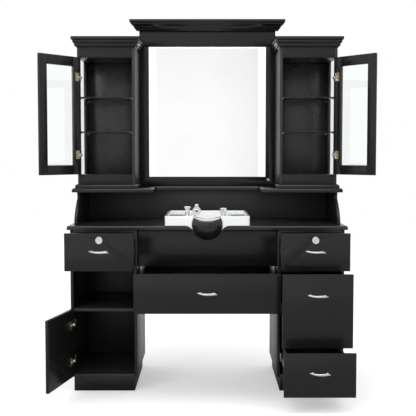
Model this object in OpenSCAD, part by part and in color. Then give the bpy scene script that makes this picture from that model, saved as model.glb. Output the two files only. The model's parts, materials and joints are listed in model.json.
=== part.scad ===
// Salon shampoo station: two pedestals with drawers and a cupboard, a counter with a wash bowl,
// and a hutch with two glazed towers and a lit mirror. Doors and drawers stand open, as shown.
// X runs to the right, Y to the back, Z up. Lengths are in millimetres.

/* [Base cabinet] */
// Distance from the origin forward to the front edge of the carcass
carcass_front = 71; // [40:1:110]
// Width over both pedestals
base_w = 1520; // [1480:4:1620]
// Depth of the carcass
base_d = 594; // [580:2:640]
// Height of the plinths
plinth_h = 81; // [60:1:110]
// How far the plinths stand in from the pedestal sides
plinth_side_inset = 15; // [8:1:30]
// How far the plinths stand back from the carcass front
plinth_front_inset = 10; // [5:1:40]
// How far the plinths stand in from the back
plinth_back_inset = 22; // [5:1:40]
// Height of the pedestals without the plinths
pedestal_h = 826; // [810:2:880]
// Width of the kneehole between the pedestals
kneehole_w = 780; // [760:4:800]
// Thickness of the cabinet boards
board_t = 16; // [15:0.5:18]
// Thickness of the pedestal backs
back_t = 8; // [5:1:10]
// Depth of the stretchers under the counter
stretcher_d = 80; // [60:5:120]
// Height of the fixed fascia over the kneehole
fascia_h = 207; // [190:1:215]
// How far the fascia stands back from the carcass front
fascia_setback = 20; // [15:1:24]
// Height of the rear rail of the kneehole
rear_rail_h = 100; // [70:5:120]
// Distance between the wall screw holes in the rear rail
wall_hole_pitch = 600; // [300:10:650]
// Radius of the wall screw holes
wall_hole_r = 3.5; // [2.5:0.25:5]

/* [Left cupboard and niche] */
// Height from the pedestal foot to the top of the niche floor
cupboard_h = 386; // [340:2:420]
// Gap all round the lower door
door_gap = 1.5; // [1:0.5:3]
// Distance of the lower door's pull in from its free edge
lower_pull_in = 76; // [60:1:100]
// Opening angle of the lower door as shown
lower_door_open = 102; // [0:1:110]
// Gap under the lower door
lower_foot_gap = 5.5; // [2:0.5:8]
// Distance of a lower hinge from the door's bottom or top edge
lower_hinge_in = 88; // [60:2:130]

/* [Drawers] */
// Height of the top drawer fronts
top_front_h = 202; // [195:1:206]
// Height of the bottom drawer front
bottom_front_h = 228.5; // [215:0.5:250]
// Gap between drawer fronts one over the other
front_gap = 2; // [1.5:0.5:4]
// Gap between a drawer front and the pedestal's outline at each side
front_side_gap = 0.5; // [0.5:0.5:2]
// Bumper space between a closed front and the carcass
bumper_gap = 2; // [1:0.5:3]
// How far the left top drawer stands open
left_top_open = 188; // [0:1:400]
// How far the right top drawer stands open
right_top_open = 187; // [0:1:400]
// How far the right middle drawer stands open
middle_open = 297; // [0:1:400]
// How far the right bottom drawer stands open
bottom_open = 405.5; // [0:0.5:412]
// How far the centre drawer stands open
centre_open = 262; // [0:1:400]
// Height of the centre drawer front
centre_front_h = 210.5; // [180:0.5:230]
// Gap over the centre drawer front
centre_top_gap = 5; // [3:1:8]
// Gap between the centre drawer front and each pedestal
centre_side_gap = 1.3; // [1:0.1:3]
// Thickness of the drawer box boards
box_t = 12; // [10:1:14]
// Thickness of the drawer bottoms
box_floor_t = 8; // [5:1:10]
// Height of the top drawer boxes
top_box_h = 110; // [90:2:118]
// Height of the middle drawer box
middle_box_h = 250; // [200:5:290]
// Height of the bottom drawer box
bottom_box_h = 150; // [120:2:154]
// Height of the centre drawer box
centre_box_h = 150; // [90:2:160]
// How far the drawer boxes start above the lower edges of their fronts
box_lift = 34; // [28:1:36]
// Distance of the middle drawer's pull below its top edge
middle_pull_drop = 114; // [60:1:180]
// Distance of the bottom drawer's pull below its top edge
bottom_pull_drop = 106; // [60:1:150]
// Length of the drawer slides
slide_len = 550; // [500:5:560]
// Height of the fixed slide members
slide_h = 45; // [36:1:50]
// Space that a slide takes beside the drawer box
slide_space = 12.7; // [12:0.1:14]

/* [Bow pulls] */
// Distance between the posts of a pull
pull_pitch = 76; // [64:2:80]
// Length of a pull from tip to tip
pull_len = 109; // [104:1:124]
// How far a pull stands out from the front
pull_reach = 26; // [20:1:34]
// Rise of the pull's left tip over its middle
pull_rise = 7; // [3:0.5:12]
// Height of the pull bar at its middle
pull_bar_h = 11; // [8:0.5:14]
// Thickness of the pull bar
pull_bar_t = 6; // [5:0.5:8]
// Radius of the pull posts
pull_post_r = 3.5; // [3:0.25:4]

/* [Cam locks] */
// Radius of the lock's rose
rose_r = 19; // [17:0.5:24]
// Thickness of the rose
rose_t = 3; // [2:0.5:5]
// Distance from the front's top edge down to the lock
lock_drop = 37.5; // [34:0.5:40]
// Radius of the lock housing in the front
lock_housing_r = 9.5; // [8.5:0.25:11]
// Radius of the turning plug
lock_plug_r = 6; // [5:0.25:7]
// Length of the cam from the plug's axis
cam_len = 29; // [28:0.5:30]

/* [Counter] */
// Width of the counter
counter_w = 1550; // [1540:2:1640]
// Overhang of the counter past the carcass front
counter_overhang = 22; // [20:1:24]
// Thickness of the counter
counter_t = 22; // [18:1:26]
// Radius of the counter's rounded top edge
counter_edge_r = 9; // [4:1:12]

/* [Wash bowl] */
// Width of the bowl's deck
bowl_w = 469; // [440:2:490]
// Depth of the bowl's deck from front to back
bowl_d = 507; // [500:1:520]
// Height of the bowl's deck above the counter
bowl_h = 54; // [48:1:62]
// How far the bowl's face stands out past the carcass front
bowl_overhang = 27.5; // [26:0.5:32]
// Radius of the deck's corners
bowl_corner_r = 14; // [8:1:24]
// Width of the rim round the deck
rim_w = 14; // [10:1:20]
// Depth of the deck's recess under the rim
deck_drop = 12; // [8:1:18]
// Depth of the basin under the deck
basin_depth = 172; // [150:2:180]
// Distance from the bowl's face to the basin's front edge
neck_in = 59; // [54:1:66]
// Radius of the basin near the neck
basin_neck_r = 52; // [46:1:54]
// Depth over which the basin widens behind the neck
basin_taper_d = 150; // [140:2:154]
// Depth of the basin's wide part between its corners
basin_wide_d = 130; // [100:5:132]
// Half width of the basin at its wide end
basin_half_w = 140; // [130:1:142]
// Thickness of the bowl's wall
bowl_wall = 10; // [8:0.5:12]
// Radius of the neck opening's collar
collar_r = 84; // [80:1:88]
// Radius of the saddle in the bowl's front rim
saddle_r = 166; // [150:2:200]
// Depth of the saddle under the rim
saddle_drop = 19.5; // [15:0.5:24]
// Radius of the ball that shapes the neck rest's bulge
rest_ball_r = 101; // [98:1:110]
// Thickness of the neck rest at its middle
rest_t = 42; // [34:1:50]

/* [Waste and taps] */
// Radius of the drain's tailpiece and of the pipe to the spigot
waste_r = 18; // [14:1:20]
// Radius of the drain flange
drain_flange_r = 35; // [30:1:40]
// Radius of the outlet pipe's spigot at the back
spigot_r = 20; // [16:1:22]
// Length of the spigot
spigot_len = 40; // [30:2:60]
// Radius of the trap's cup
trap_r = 32; // [28:1:36]
// Height of the left tap over the deck
left_tap_h = 60; // [56:1:80]
// Height of the right tap over the deck
right_tap_h = 51.5; // [48:0.5:70]
// Radius of the tap knobs
tap_r = 21; // [18:0.5:22]
// Radius of the threaded tap tails
tap_tail_r = 7.5; // [6:0.25:9]
// Distance of the left tap from the middle
left_tap_x = 112; // [106:1:120]
// Distance of the right tap from the middle
right_tap_x = 91; // [90:1:110]
// Distance of the taps behind the bowl's face
tap_setback = 118; // [112:0.5:119]
// Radius of the spray head's face
spray_r = 24.5; // [20:0.5:26]

/* [Hutch] */
// Depth of the towers
tower_d = 372; // [360:2:400]
// Width of each tower
tower_w = 330; // [325:1:345]
// Width between the towers
mirror_bay_w = 833; // [820:1:840]
// Height of the open space between the counter and the hutch board
hutch_gap_h = 176; // [160:2:220]
// Thickness of the hutch board
hutch_board_t = 24; // [20:1:28]
// Thickness of the moulded step on the hutch board
hutch_step_t = 23; // [18:1:28]
// Projection of the hutch board past the towers
hutch_board_out = 32; // [26:1:34]
// Projection of the moulded step past the towers
hutch_step_out = 15; // [8:1:18]
// How far the side parts of the hutch board reach in past the towers
hutch_wing_in = 107; // [90:1:130]
// Projection of the hutch board's upper edge, within its rounded nose
hutch_lip_out = 20; // [12:1:25]
// Depth of the hutch board's strip under the mirror, without its moulded edge
hutch_strip_d = 16; // [12:1:40]
// Thickness of the hutch back
hutch_back_t = 19; // [16:1:22]
// Distance of the side brackets' feet behind the carcass front
bracket_foot = 77; // [50:1:100]
// Projection of the side brackets past the towers' outer faces
bracket_out = 2; // [0:0.5:4]

/* [Towers] */
// Height of the bottom rail
tower_rail_h = 55; // [45:1:75]
// Height of the door opening
tower_open_h = 668; // [600:2:760]
// Height of the frieze over the door opening
tower_frieze_h = 58; // [50:1:75]
// Height of the tower crown
tower_crown_h = 61; // [50:1:72]
// Projection of the tower crown
tower_crown_out = 31; // [24:1:34]
// Width of the front stile beside the side window
window_stile = 34; // [28:1:50]
// Depth of the side window from front to back
window_d = 215; // [150:5:240]
// Thickness of the glass panes
pane_t = 4; // [3:0.5:6]
// Thickness of the glass shelves
shelf_t = 8; // [6:1:10]
// Height of the lower glass shelf over the door opening's foot
lower_shelf_h = 241; // [220:1:260]
// Height of the upper glass shelf over the door opening's foot
upper_shelf_h = 439; // [420:1:460]
// Distance of the shelves behind the tower front
shelf_setback = 22; // [21:0.5:26]
// Radius of the shelf pins
pin_r = 2.5; // [2:0.25:3.5]

/* [Glass doors] */
// Thickness of the glass doors
glass_door_t = 19; // [17:0.5:21]
// Width of the door stiles
stile_w = 50; // [48:1:60]
// Height of the door rails
rail_w = 54; // [46:1:66]
// Gap between a glass door and each tower side
inset_gap = 2; // [1.5:0.5:3]
// Opening angle of the glass doors as shown
glass_door_open = 129.5; // [0:0.5:135]
// Distance of a glass door's hinges from its top and bottom edges
glass_hinge_in = 112; // [80:1:140]
// Radius of the hinge cups
cup_r = 12; // [11:0.5:14]
// Height of the hinge flanges
flange_h = 47; // [42:1:54]

/* [Mirror and crown] */
// Width of the mirror with its light strips
mirror_w = 717; // [660:1:740]
// Width of each upright light strip
light_w = 44; // [30:1:60]
// Height of the light strip along the mirror's top
top_light_h = 6; // [4:1:20]
// Height of the frame under the mirror
mirror_rail_h = 57; // [50:1:80]
// Height of the mirror
mirror_h = 794; // [700:2:860]
// Thickness of the mirror glass
mirror_t = 5; // [4:0.5:6]
// Thickness of the mirror panel
mirror_panel_t = 19; // [18:1:22]
// Height of the frieze over the mirror
centre_frieze_h = 97; // [85:1:115]
// Height of the centre crown
centre_crown_h = 64; // [54:1:74]
// Projection of the centre crown
centre_crown_out = 56; // [45:1:64]
// Radius of the light button
button_r = 9; // [7:0.5:10]
// Distance of the light button below and outside the mirror's corner
button_offset = 17.5; // [15:0.5:19]

/* [Hidden] */

// Y of the carcass front and of the back
front_y = -carcass_front;
back_y = front_y + base_d;
// Half widths of the base, the kneehole and the clear inside of the outer sides
base_x = base_w / 2;
knee_x = kneehole_w / 2;
pedestal_in_x = knee_x + board_t;
pedestal_out_x = base_x - board_t;
pedestal_mid_x = (knee_x + base_x) / 2;
// Heights of the base
carcass_top = plinth_h + pedestal_h;
counter_top = carcass_top + counter_t;
niche_floor = plinth_h + cupboard_h;
// Seam between boards that lie side by side in one node, and clearance of a seated piece
seam = 0.1;
seat = 0.3;
// Curve resolution of round pieces, small round pieces and blended shells
$fn = 64;
small_fn = 32;
eps = 0.01;

// Heights of the drawer fronts
foot_gap = 1.5;
head_gap = 2.5;
top_front_z = carcass_top - head_gap - top_front_h;
middle_front_z = plinth_h + foot_gap + bottom_front_h + front_gap;
middle_front_h = top_front_z - front_gap - middle_front_z;
divider_top = top_front_z - head_gap;
centre_front_z = carcass_top - fascia_h - centre_top_gap - centre_front_h;
// Drawer fronts and boxes when shut
front_back_y = front_y - bumper_gap;
front_face_y = front_back_y - board_t;
front_x0 = knee_x + front_side_gap;
front_x1 = base_x - front_side_gap;
box_floor_lift = 8;
// Slide members, side by side in the slide space
slide_run = 0.3;
member_t = (slide_space - slide_run) / 2;
member_inset = 5;
member_h = slide_h - 2 * member_inset;
slide_setback = 2;
// Lock: stand-off of the cam behind the front, cam section and the running clearance
lock_run = 0.05;
lock_standoff = 8;
cam_w = 14;
cam_t = 2.5;
lock_z = top_front_z + top_front_h - lock_drop;
key_slot_w = 1.8;
key_slot_h = 7;
key_slot_depth = 4;

// Pivot of the lower door, within the door's thickness near its end
lower_door_x0 = knee_x + door_gap;
lower_door_x1 = base_x - door_gap;
lower_pivot_in = 5.5;
lower_pivot_back = 9;
lower_pivot_x = lower_door_x1 - lower_pivot_in;
lower_pivot_y = front_back_y - lower_pivot_back;
lower_door_z0 = plinth_h + lower_foot_gap;
lower_door_z1 = niche_floor;
// Hinge hardware: eye, pin, arm and leaves
hinge_run = 0.05;
arm_h = 12;
leaf_gap = 0.3;
leaf_t = 2;
pocket_h = arm_h + 2 * (leaf_gap + leaf_t) + 0.4;
arm_t = 6;
plate_h = 40;
lower_plate_t = 2;
lower_plate_d = 50;
lower_plate_in = 44;
glass_plate_t = 1.2;
glass_plate_d = 15;
lower_eye_r = 3.6;
lower_pin_r = 2;
lower_skin = 3;
lower_pocket_run = 1;
lower_pocket_in = lower_pivot_x - pedestal_out_x + lower_plate_t + arm_t + lower_pocket_run;
glass_eye_r = 5;
glass_pin_r = 2.5;
glass_pocket_in = 8.5;
cup_depth = 11.5;
cup_margin = 2.5;
flange_t = 2;
flange_margin = 2;

// Towers
bay_x = mirror_bay_w / 2;
tower_x = bay_x + tower_w;
tower_y = back_y - tower_d;
hutch_board_z = counter_top + hutch_gap_h;
hutch_top = hutch_board_z + hutch_board_t;
tower_z = hutch_top + hutch_step_t;
open_z = tower_z + tower_rail_h;
open_top = open_z + tower_open_h;
tower_top = open_top + tower_frieze_h;
tower_in_x0 = bay_x + board_t;
tower_in_x1 = tower_x - board_t;
tower_back_t = 18;
tower_back_y = back_y - tower_back_t;
pin_len = 8;
pin_inset = 30;
pin_ahead = 6;
// Glass doors when shut, with their pivot just ahead of the tower's edge
glass_door_x0 = tower_in_x0 + inset_gap;
glass_door_x1 = tower_in_x1 - inset_gap;
glass_door_z0 = open_z + door_gap;
glass_door_z1 = open_top - door_gap;
glass_pivot_x = tower_x - 8.5;
glass_pivot_y = tower_y - 8;
glass_inner_y = tower_y + glass_door_t;

// Mirror wall
panel_y = back_y - mirror_panel_t;
mirror_z = hutch_top + mirror_rail_h;
mirror_top = mirror_z + mirror_h;
mirror_x = mirror_w / 2;
light_x = mirror_x - light_w;
centre_top = mirror_top + centre_frieze_h;
channel_t = 7;
channel_inset = 4;
button_x = mirror_x + button_offset;
button_z = mirror_z - button_offset;
button_cap_t = 7;
button_proud = 4;
button_pocket = 6;
button_stem_r = 4;

// Wash bowl
bowl_y0 = front_y - bowl_overhang;
bowl_y1 = bowl_y0 + bowl_d;
bowl_x = bowl_w / 2;
bowl_top = counter_top + seat + bowl_h;
deck_z = bowl_top - deck_drop;
deck_t = 12;
basin_z = deck_z - basin_depth;
basin_neck_y = bowl_y0 + neck_in + basin_neck_r;
basin_corner_r = 60;
basin_wide_y0 = basin_neck_y + basin_taper_d;
basin_wide_y1 = basin_wide_y0 + basin_wide_d;
basin_floor_r = 80;
basin_floor_y = (basin_wide_y0 + basin_wide_y1) / 2;
notch_d = 32;
collar_lift = 6;
collar_z = counter_top + collar_lift;
horn_t = bowl_overhang - counter_overhang - seat;
horn_r = 52;
horn_span = 41;
horn_x = collar_r + horn_span;
horn_foot = collar_z - horn_span;
saddle_z = bowl_top - saddle_drop + saddle_r;
rest_drop = 9;
cutout_gap = 5;
cutout_setback = 20;
cutout_x = basin_half_w + bowl_wall + cutout_gap;
cutout_y0 = front_y + cutout_setback;
cutout_y1 = basin_wide_y1 + basin_corner_r + bowl_wall + cutout_gap;

// Taps and spray
tap_y = bowl_y0 + tap_setback;
tap_flange_t = 5;
tap_flange_lip = 2;
tap_neck_r = 11;
tap_knob_h = 36;
right_knob_h = 32;
tap_stem_r = 4;
tap_stem_h = 16;
tap_run = 0.05;
tail_drop = 84;
tap_hole_run = 1;
nut_r = 14;
nut_t = 8;
spray_x = -77;
spray_setback = 72;
spray_y = bowl_y0 + spray_setback;
spray_stem_r = 8;
holder_r = 13;
holder_h = 14;
spray_seat_h = 3;
spray_elbow_h = 28;
spray_elbow_z = deck_z + spray_elbow_h;
spray_face = [18, -22, 7];
spray_tilt = 72;
spray_face_t = 14;
spray_hole_r = 7;
spray_neck_len = 20;
spray_neck_r = spray_stem_r + 4;
spray_ball_r = spray_stem_r + 1.5;
spray_valve_r = 10.5;
spray_valve_h = 41;
spray_valve_back = 8;
spray_cap_r = 12.5;
spray_cap_h = 11;

// Waste
drain_y = basin_floor_y;
drain_flange_t = 3;
trap_h = 56;
trap_drop = 20;
trap_z = basin_z - bowl_wall - trap_drop - trap_h;
outlet_z = trap_z + trap_h / 2;
strainer_holes = 8;
strainer_hole_r = 3;

// Colours
black = [0.06, 0.06, 0.065];
chrome = [0.8, 0.81, 0.82];
nickel = [0.75, 0.7, 0.6];
porcelain = [0.95, 0.95, 0.94];
rubber = [0.05, 0.05, 0.05];
clear = [0.8, 0.9, 0.9, 0.3];
silvered = [0.75, 0.8, 0.85];
lit = [1, 1, 0.97];

// Box between two corners, each axis given as a pair
module slab(x, y, z) {
    translate([x[0], y[0], z[0]]) cube([x[1] - x[0], y[1] - y[0], z[1] - z[0]]);
}

// The same piece on the right and, mirrored, on the left
module both_sides() {
    children();
    mirror([1, 0, 0]) children();
}

// A piece of the left side, drawn as its mirror image on the right
module left_side() {
    mirror([1, 0, 0]) children();
}

// Cylinder along Y, from y0 to y1
module rod_y(r, y0, y1, fn = 64) {
    translate([0, y1, 0]) rotate([90, 0, 0]) cylinder(h = y1 - y0, r = r, $fn = fn);
}

// Reversed list
function reversed(list) = [for (i = [len(list) - 1:-1:0]) list[i]];

// Board with moulded front and side edges; prof holds [projection, height] pairs from the foot up
module moulded(x, y, z, prof) {
    reach = max([for (p = prof) p[0]]) + 1;
    top = prof[len(prof) - 1][1];
    intersection() {
        translate([0, y[1], z]) rotate([90, 0, 0]) linear_extrude(y[1] - y[0] + reach)
            polygon(concat([for (p = prof) [x[1] + p[0], p[1]]],
                           [for (p = reversed(prof)) [x[0] - p[0], p[1]]]));
        translate([x[0] - reach, 0, z]) rotate([90, 0, 90]) linear_extrude(x[1] - x[0] + 2 * reach)
            polygon(concat([for (p = prof) [y[0] - p[0], p[1]]], [[y[1], top], [y[1], 0]]));
    }
}

// Crown profiles over height h and projection out: steps, slopes and a plain band at the top
crown_steps = 6;
function cove(p0, p1, z0, z1) = [for (i = [0:crown_steps])
    [p0 + (p1 - p0) * (1 - cos(90 * i / crown_steps)), z0 + (z1 - z0) * sin(90 * i / crown_steps)]];
function centre_profile(h, out) = concat(
    [[0, 0], [0.28 * out, 0], [0.56 * out, 0.31 * h], [0.56 * out, 0.39 * h],
     [0.82 * out, 0.56 * h], [0.86 * out, 0.58 * h], [0.86 * out, 0.65 * h]],
    cove(0.88 * out, 0.98 * out, 0.66 * h, 0.75 * h),
    [[out, 0.77 * h], [out, h]]);
function tower_profile(h, out) = concat(
    [[0, 0], [0.1 * out, 0]],
    cove(0.12 * out, 0.44 * out, 0.03 * h, 0.15 * h),
    [[0.44 * out, 0.34 * h], [0.64 * out, 0.43 * h], [0.72 * out, 0.48 * h],
     [0.74 * out, 0.67 * h], [0.8 * out, 0.69 * h], [out, 0.74 * h], [out, h]]);

// Edge profile of the counter: upright below, a quarter round above
edge_steps = 8;
function round_edge(r, h) = concat([[r, 0]],
    [for (i = [0:edge_steps]) [r * cos(90 * i / edge_steps), h - r + r * sin(90 * i / edge_steps)]]);

// Edge profile of a hutch board: an upright band that rounds in above to inner
edge_band = 0.4;
function board_edge(out, inner, h) = concat([[out, 0]],
    [for (i = [0:edge_steps]) [inner + (out - inner) * cos(90 * i / edge_steps),
                               h * (edge_band + (1 - edge_band) * sin(90 * i / edge_steps))]]);

// Base cabinet

// Four boards under each pedestal
module plinths() {
    x = [knee_x + plinth_side_inset, base_x - plinth_side_inset];
    y = [front_y + plinth_front_inset, back_y - plinth_back_inset];
    between = [y[0] + board_t + seam, y[1] - board_t - seam];
    z = [0, plinth_h];
    color(black) both_sides() {
        slab(x, [y[0], y[0] + board_t], z);
        slab(x, [y[1] - board_t, y[1]], z);
        slab([x[0], x[0] + board_t], between, z);
        slab([x[1] - board_t, x[1]], between, z);
    }
}

module pedestal_outer_sides() {
    color(black) both_sides()
        slab([pedestal_out_x, base_x], [front_y, back_y], [plinth_h, carcass_top]);
}

module pedestal_inner_sides() {
    color(black) both_sides()
        slab([knee_x, pedestal_in_x], [front_y, back_y], [plinth_h, carcass_top]);
}

// Floors, top stretchers with the slots of the cams, and backs
module pedestal_boards() {
    x = [pedestal_in_x, pedestal_out_x];
    color(black) both_sides() {
        slab(x, [front_y, back_y], [plinth_h, plinth_h + board_t]);
        difference() {
            slab(x, [front_y, front_y + stretcher_d], [carcass_top - board_t, carcass_top]);
            slab([pedestal_mid_x - cam_len, pedestal_mid_x + cam_len],
                 [front_back_y + lock_standoff - seat, front_back_y + lock_standoff + cam_t + 3 * seat],
                 [carcass_top - board_t - eps, max(lock_z + cam_len, carcass_top - board_t) + 2]);
        }
        slab(x, [back_y - back_t - stretcher_d, back_y - back_t - seam],
             [carcass_top - board_t, carcass_top]);
        slab(x, [back_y - back_t, back_y], [plinth_h + board_t + seam, carcass_top]);
    }
}

// Niche ceiling under the left top drawer, and the niche floor over the cupboard
module left_shelves() {
    color(black) left_side() for (top = [divider_top, niche_floor])
        slab([pedestal_in_x, pedestal_out_x], [front_y, back_y - back_t], [top - board_t, top]);
}

// Fascia over the centre drawer, and the rear rail with its wall screw holes
module kneehole_rails() {
    color(black) {
        slab([-knee_x, knee_x], [front_y + fascia_setback, front_y + fascia_setback + board_t],
             [carcass_top - fascia_h, carcass_top]);
        difference() {
            slab([-knee_x, knee_x], [back_y - board_t, back_y],
                 [carcass_top - rear_rail_h, carcass_top]);
            both_sides() translate([wall_hole_pitch / 2, 0, carcass_top - rear_rail_h / 2])
                rod_y(wall_hole_r, back_y - board_t - 1, back_y + 1);
        }
    }
}

module counter() {
    r = counter_edge_r;
    color(black) difference() {
        moulded([r - counter_w / 2, counter_w / 2 - r],
                [front_y - counter_overhang + r, back_y], carcass_top, round_edge(r, counter_t));
        slab([-cutout_x, cutout_x], [cutout_y0, cutout_y1], [carcass_top - 1, counter_top + 1]);
    }
}

// Drawers

// Height of the slides' middle on a drawer box that starts at z and is h high
function slide_z(z, h) = z + h / 2;
// Feet of the drawer boxes
top_box_z = top_front_z + box_lift;
middle_box_z = middle_front_z + box_lift;
bottom_box_z = plinth_h + foot_gap + box_lift;
centre_box_z = centre_front_z + box_lift;

// Two fixed members on the inside faces x[0] and x[1], level with a box's middle
module channel_pair(x, z, y0) {
    y = [y0 + slide_setback, y0 + slide_setback + slide_len];
    for (face = [[x[0], x[0] + member_t], [x[1] - member_t, x[1]]])
        slab(face, y, [z - slide_h / 2, z + slide_h / 2]);
}

module slide_channels() {
    bay = [pedestal_in_x, pedestal_out_x];
    color(chrome) {
        both_sides() channel_pair(bay, slide_z(top_box_z, top_box_h), front_y);
        channel_pair(bay, slide_z(middle_box_z, middle_box_h), front_y);
        channel_pair(bay, slide_z(bottom_box_z, bottom_box_h), front_y);
        channel_pair([-knee_x, knee_x], slide_z(centre_box_z, centre_box_h), front_y + board_t);
    }
}

// Moving slide members beside a box that fills the bay x, from y0 back
module runner_pair(x, z, y0) {
    y = [y0, y0 + slide_len];
    for (face = [[x[0] + member_t + slide_run, x[0] + slide_space],
                 [x[1] - slide_space, x[1] - member_t - slide_run]])
        slab(face, y, [z - member_h / 2, z + member_h / 2]);
}

// Open box of five boards in the bay x, from y0 back
module drawer_box(x, z, h, y0) {
    outer = [x[0] + slide_space, x[1] - slide_space];
    inner = [outer[0] + box_t + seam, outer[1] - box_t - seam];
    y = [y0, y0 + slide_len];
    slab([outer[0], outer[0] + box_t], y, [z, z + h]);
    slab([outer[1] - box_t, outer[1]], y, [z, z + h]);
    slab(inner, [y[0], y[0] + box_t], [z, z + h]);
    slab(inner, [y[1] - box_t, y[1]], [z, z + h]);
    slab(inner, [y[0] + box_t + seam, y[1] - box_t - seam],
         [z + box_floor_lift, z + box_floor_lift + box_floor_t]);
}

// Half height of the pull bar, its set-out and its rise, at t from the left tip to the right;
// past the knee the bar falls off to a pointed tip
bar_knee = 0.83;
function bar_half_h(t) = pull_bar_h / 2 * (t < 0.45 ? 0.3 + 0.7 * sin(200 * t)
    : t < bar_knee ? 1 + 0.2 * (t - 0.45) / (bar_knee - 0.45)
    : 0.15 + 1.05 * (1 - t) / (1 - bar_knee));
function bar_out(t) = 9 + (pull_reach - 9 - pull_bar_t / 2) * sin(180 * t);
function bar_up(t) = pull_rise * (t < 0.5 ? pow(1 - 2 * t, 2)
    : t < bar_knee ? 0.2 * pow((t - 0.5) / (bar_knee - 0.5), 2)
    : 0.2 - 0.58 * (t - bar_knee) / (1 - bar_knee));

// Bow pull: a swept bar on two posts, centred on the front's face at the origin
bar_stations = 16;
bar_sides = 10;
module bow_pull() {
    points = [for (i = [0:bar_stations]) let (t = i / bar_stations) for (j = [0:bar_sides - 1])
        [pull_len * (t - 0.5),
         -bar_out(t) + pull_bar_t / 2 * cos(360 * j / bar_sides),
         bar_up(t) + bar_half_h(t) * sin(360 * j / bar_sides)]];
    sides = [for (i = [0:bar_stations - 1]) for (j = [0:bar_sides - 1])
        let (a = i * bar_sides + j, b = i * bar_sides + (j + 1) % bar_sides)
        [a, a + bar_sides, b + bar_sides, b]];
    last = bar_stations * bar_sides;
    polyhedron(points, concat(sides, [[for (j = [0:bar_sides - 1]) j]],
               [[for (j = [bar_sides - 1:-1:0]) last + j]]));
    for (s = [-1, 1]) let (t = 0.5 + s * pull_pitch / 2 / pull_len)
        translate([s * pull_pitch / 2, 0, bar_up(t)]) rod_y(pull_post_r, -bar_out(t), 0, small_fn);
}

// Rose and housing of a cam lock, in front of and through a front's thickness
module lock_housing() {
    difference() {
        union() {
            rod_y(rose_r, -rose_t, 0);
            rod_y(lock_housing_r, -eps, board_t + lock_standoff);
        }
        rod_y(lock_plug_r + lock_run, -rose_t - 1, board_t + lock_standoff + 1);
    }
}

// Turning plug with its key slot, and the cam on its inner end
module lock_plug() {
    inner_y = board_t + lock_standoff + seat;
    difference() {
        rod_y(lock_plug_r, -rose_t - seat, inner_y + cam_t);
        slab([-key_slot_w / 2, key_slot_w / 2], [-rose_t - 1, key_slot_depth - rose_t],
             [-key_slot_h / 2, key_slot_h / 2]);
    }
    translate([0, inner_y + cam_t, 0]) rotate([90, 0, 0]) linear_extrude(cam_t) {
        circle(r = cam_w / 2);
        translate([0, -cam_w / 2]) square([cam_len - cam_w / 2, cam_w]);
        translate([cam_len - cam_w / 2, 0]) circle(r = cam_w / 2);
    }
}

// A pedestal drawer's front, with a bore for a lock where it has one
module pedestal_front(z, h, locked = false) {
    difference() {
        slab([front_x0, front_x1], [front_face_y, front_back_y], [z, z + h]);
        if (locked) translate([pedestal_mid_x, 0, lock_z])
            rod_y(lock_housing_r, front_face_y - 1, front_back_y + 1);
    }
}

// Pull and runners of a pedestal drawer
module pedestal_fittings(pull_z, box_z, box_h) {
    translate([pedestal_mid_x, front_face_y, pull_z]) bow_pull();
    runner_pair([pedestal_in_x, pedestal_out_x], slide_z(box_z, box_h), front_back_y);
}

module pedestal_box(z, h) {
    drawer_box([pedestal_in_x, pedestal_out_x], z, h, front_back_y);
}

// Moves a shut drawer to where it stands open
module pulled(open) {
    translate([0, -open, 0]) children();
}

module top_fittings() {
    pedestal_fittings(top_front_z + top_front_h / 2, top_box_z, top_box_h);
    translate([pedestal_mid_x, front_face_y, lock_z]) lock_housing();
}

module top_lock() {
    translate([pedestal_mid_x, front_face_y, lock_z]) lock_plug();
}

// The left drawer's metal is the right one's, moved and not mirrored, so both pulls face alike
module to_left() {
    translate([-2 * pedestal_mid_x, 0, 0]) children();
}

module left_top_drawer_front() {
    color(black) to_left() pulled(left_top_open) pedestal_front(top_front_z, top_front_h, true);
}
module left_top_drawer_box() {
    color(black) to_left() pulled(left_top_open) pedestal_box(top_box_z, top_box_h);
}
module left_top_drawer_fittings() {
    color(chrome) to_left() pulled(left_top_open) top_fittings();
}
module left_lock() {
    color(chrome) to_left() pulled(left_top_open) top_lock();
}
module right_top_drawer_front() {
    color(black) pulled(right_top_open) pedestal_front(top_front_z, top_front_h, true);
}
module right_top_drawer_box() {
    color(black) pulled(right_top_open) pedestal_box(top_box_z, top_box_h);
}
module right_top_drawer_fittings() {
    color(chrome) pulled(right_top_open) top_fittings();
}
module right_lock() {
    color(chrome) pulled(right_top_open) top_lock();
}
module middle_drawer_front() {
    color(black) pulled(middle_open) pedestal_front(middle_front_z, middle_front_h);
}
module middle_drawer_box() {
    color(black) pulled(middle_open) pedestal_box(middle_box_z, middle_box_h);
}
module middle_drawer_fittings() {
    color(chrome) pulled(middle_open)
        pedestal_fittings(top_front_z - front_gap - middle_pull_drop, middle_box_z, middle_box_h);
}
module bottom_drawer_front() {
    color(black) pulled(bottom_open) pedestal_front(plinth_h + foot_gap, bottom_front_h);
}
module bottom_drawer_box() {
    color(black) pulled(bottom_open) pedestal_box(bottom_box_z, bottom_box_h);
}
module bottom_drawer_fittings() {
    color(chrome) pulled(bottom_open)
        pedestal_fittings(middle_front_z - front_gap - bottom_pull_drop, bottom_box_z, bottom_box_h);
}

// The centre drawer is inset: its front stands flush between the pedestals when shut
module centre_drawer_front() {
    x = knee_x - centre_side_gap;
    color(black) pulled(centre_open)
        slab([-x, x], [front_y, front_y + board_t], [centre_front_z, centre_front_z + centre_front_h]);
}
module centre_drawer_box() {
    color(black) pulled(centre_open)
        drawer_box([-knee_x, knee_x], centre_box_z, centre_box_h, front_y + board_t);
}
module centre_drawer_fittings() {
    color(chrome) pulled(centre_open) {
        translate([0, front_y, centre_front_z + centre_front_h / 2]) bow_pull();
        runner_pair([-knee_x, knee_x], slide_z(centre_box_z, centre_box_h), front_y + board_t);
    }
}

// Hinges and doors

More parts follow.
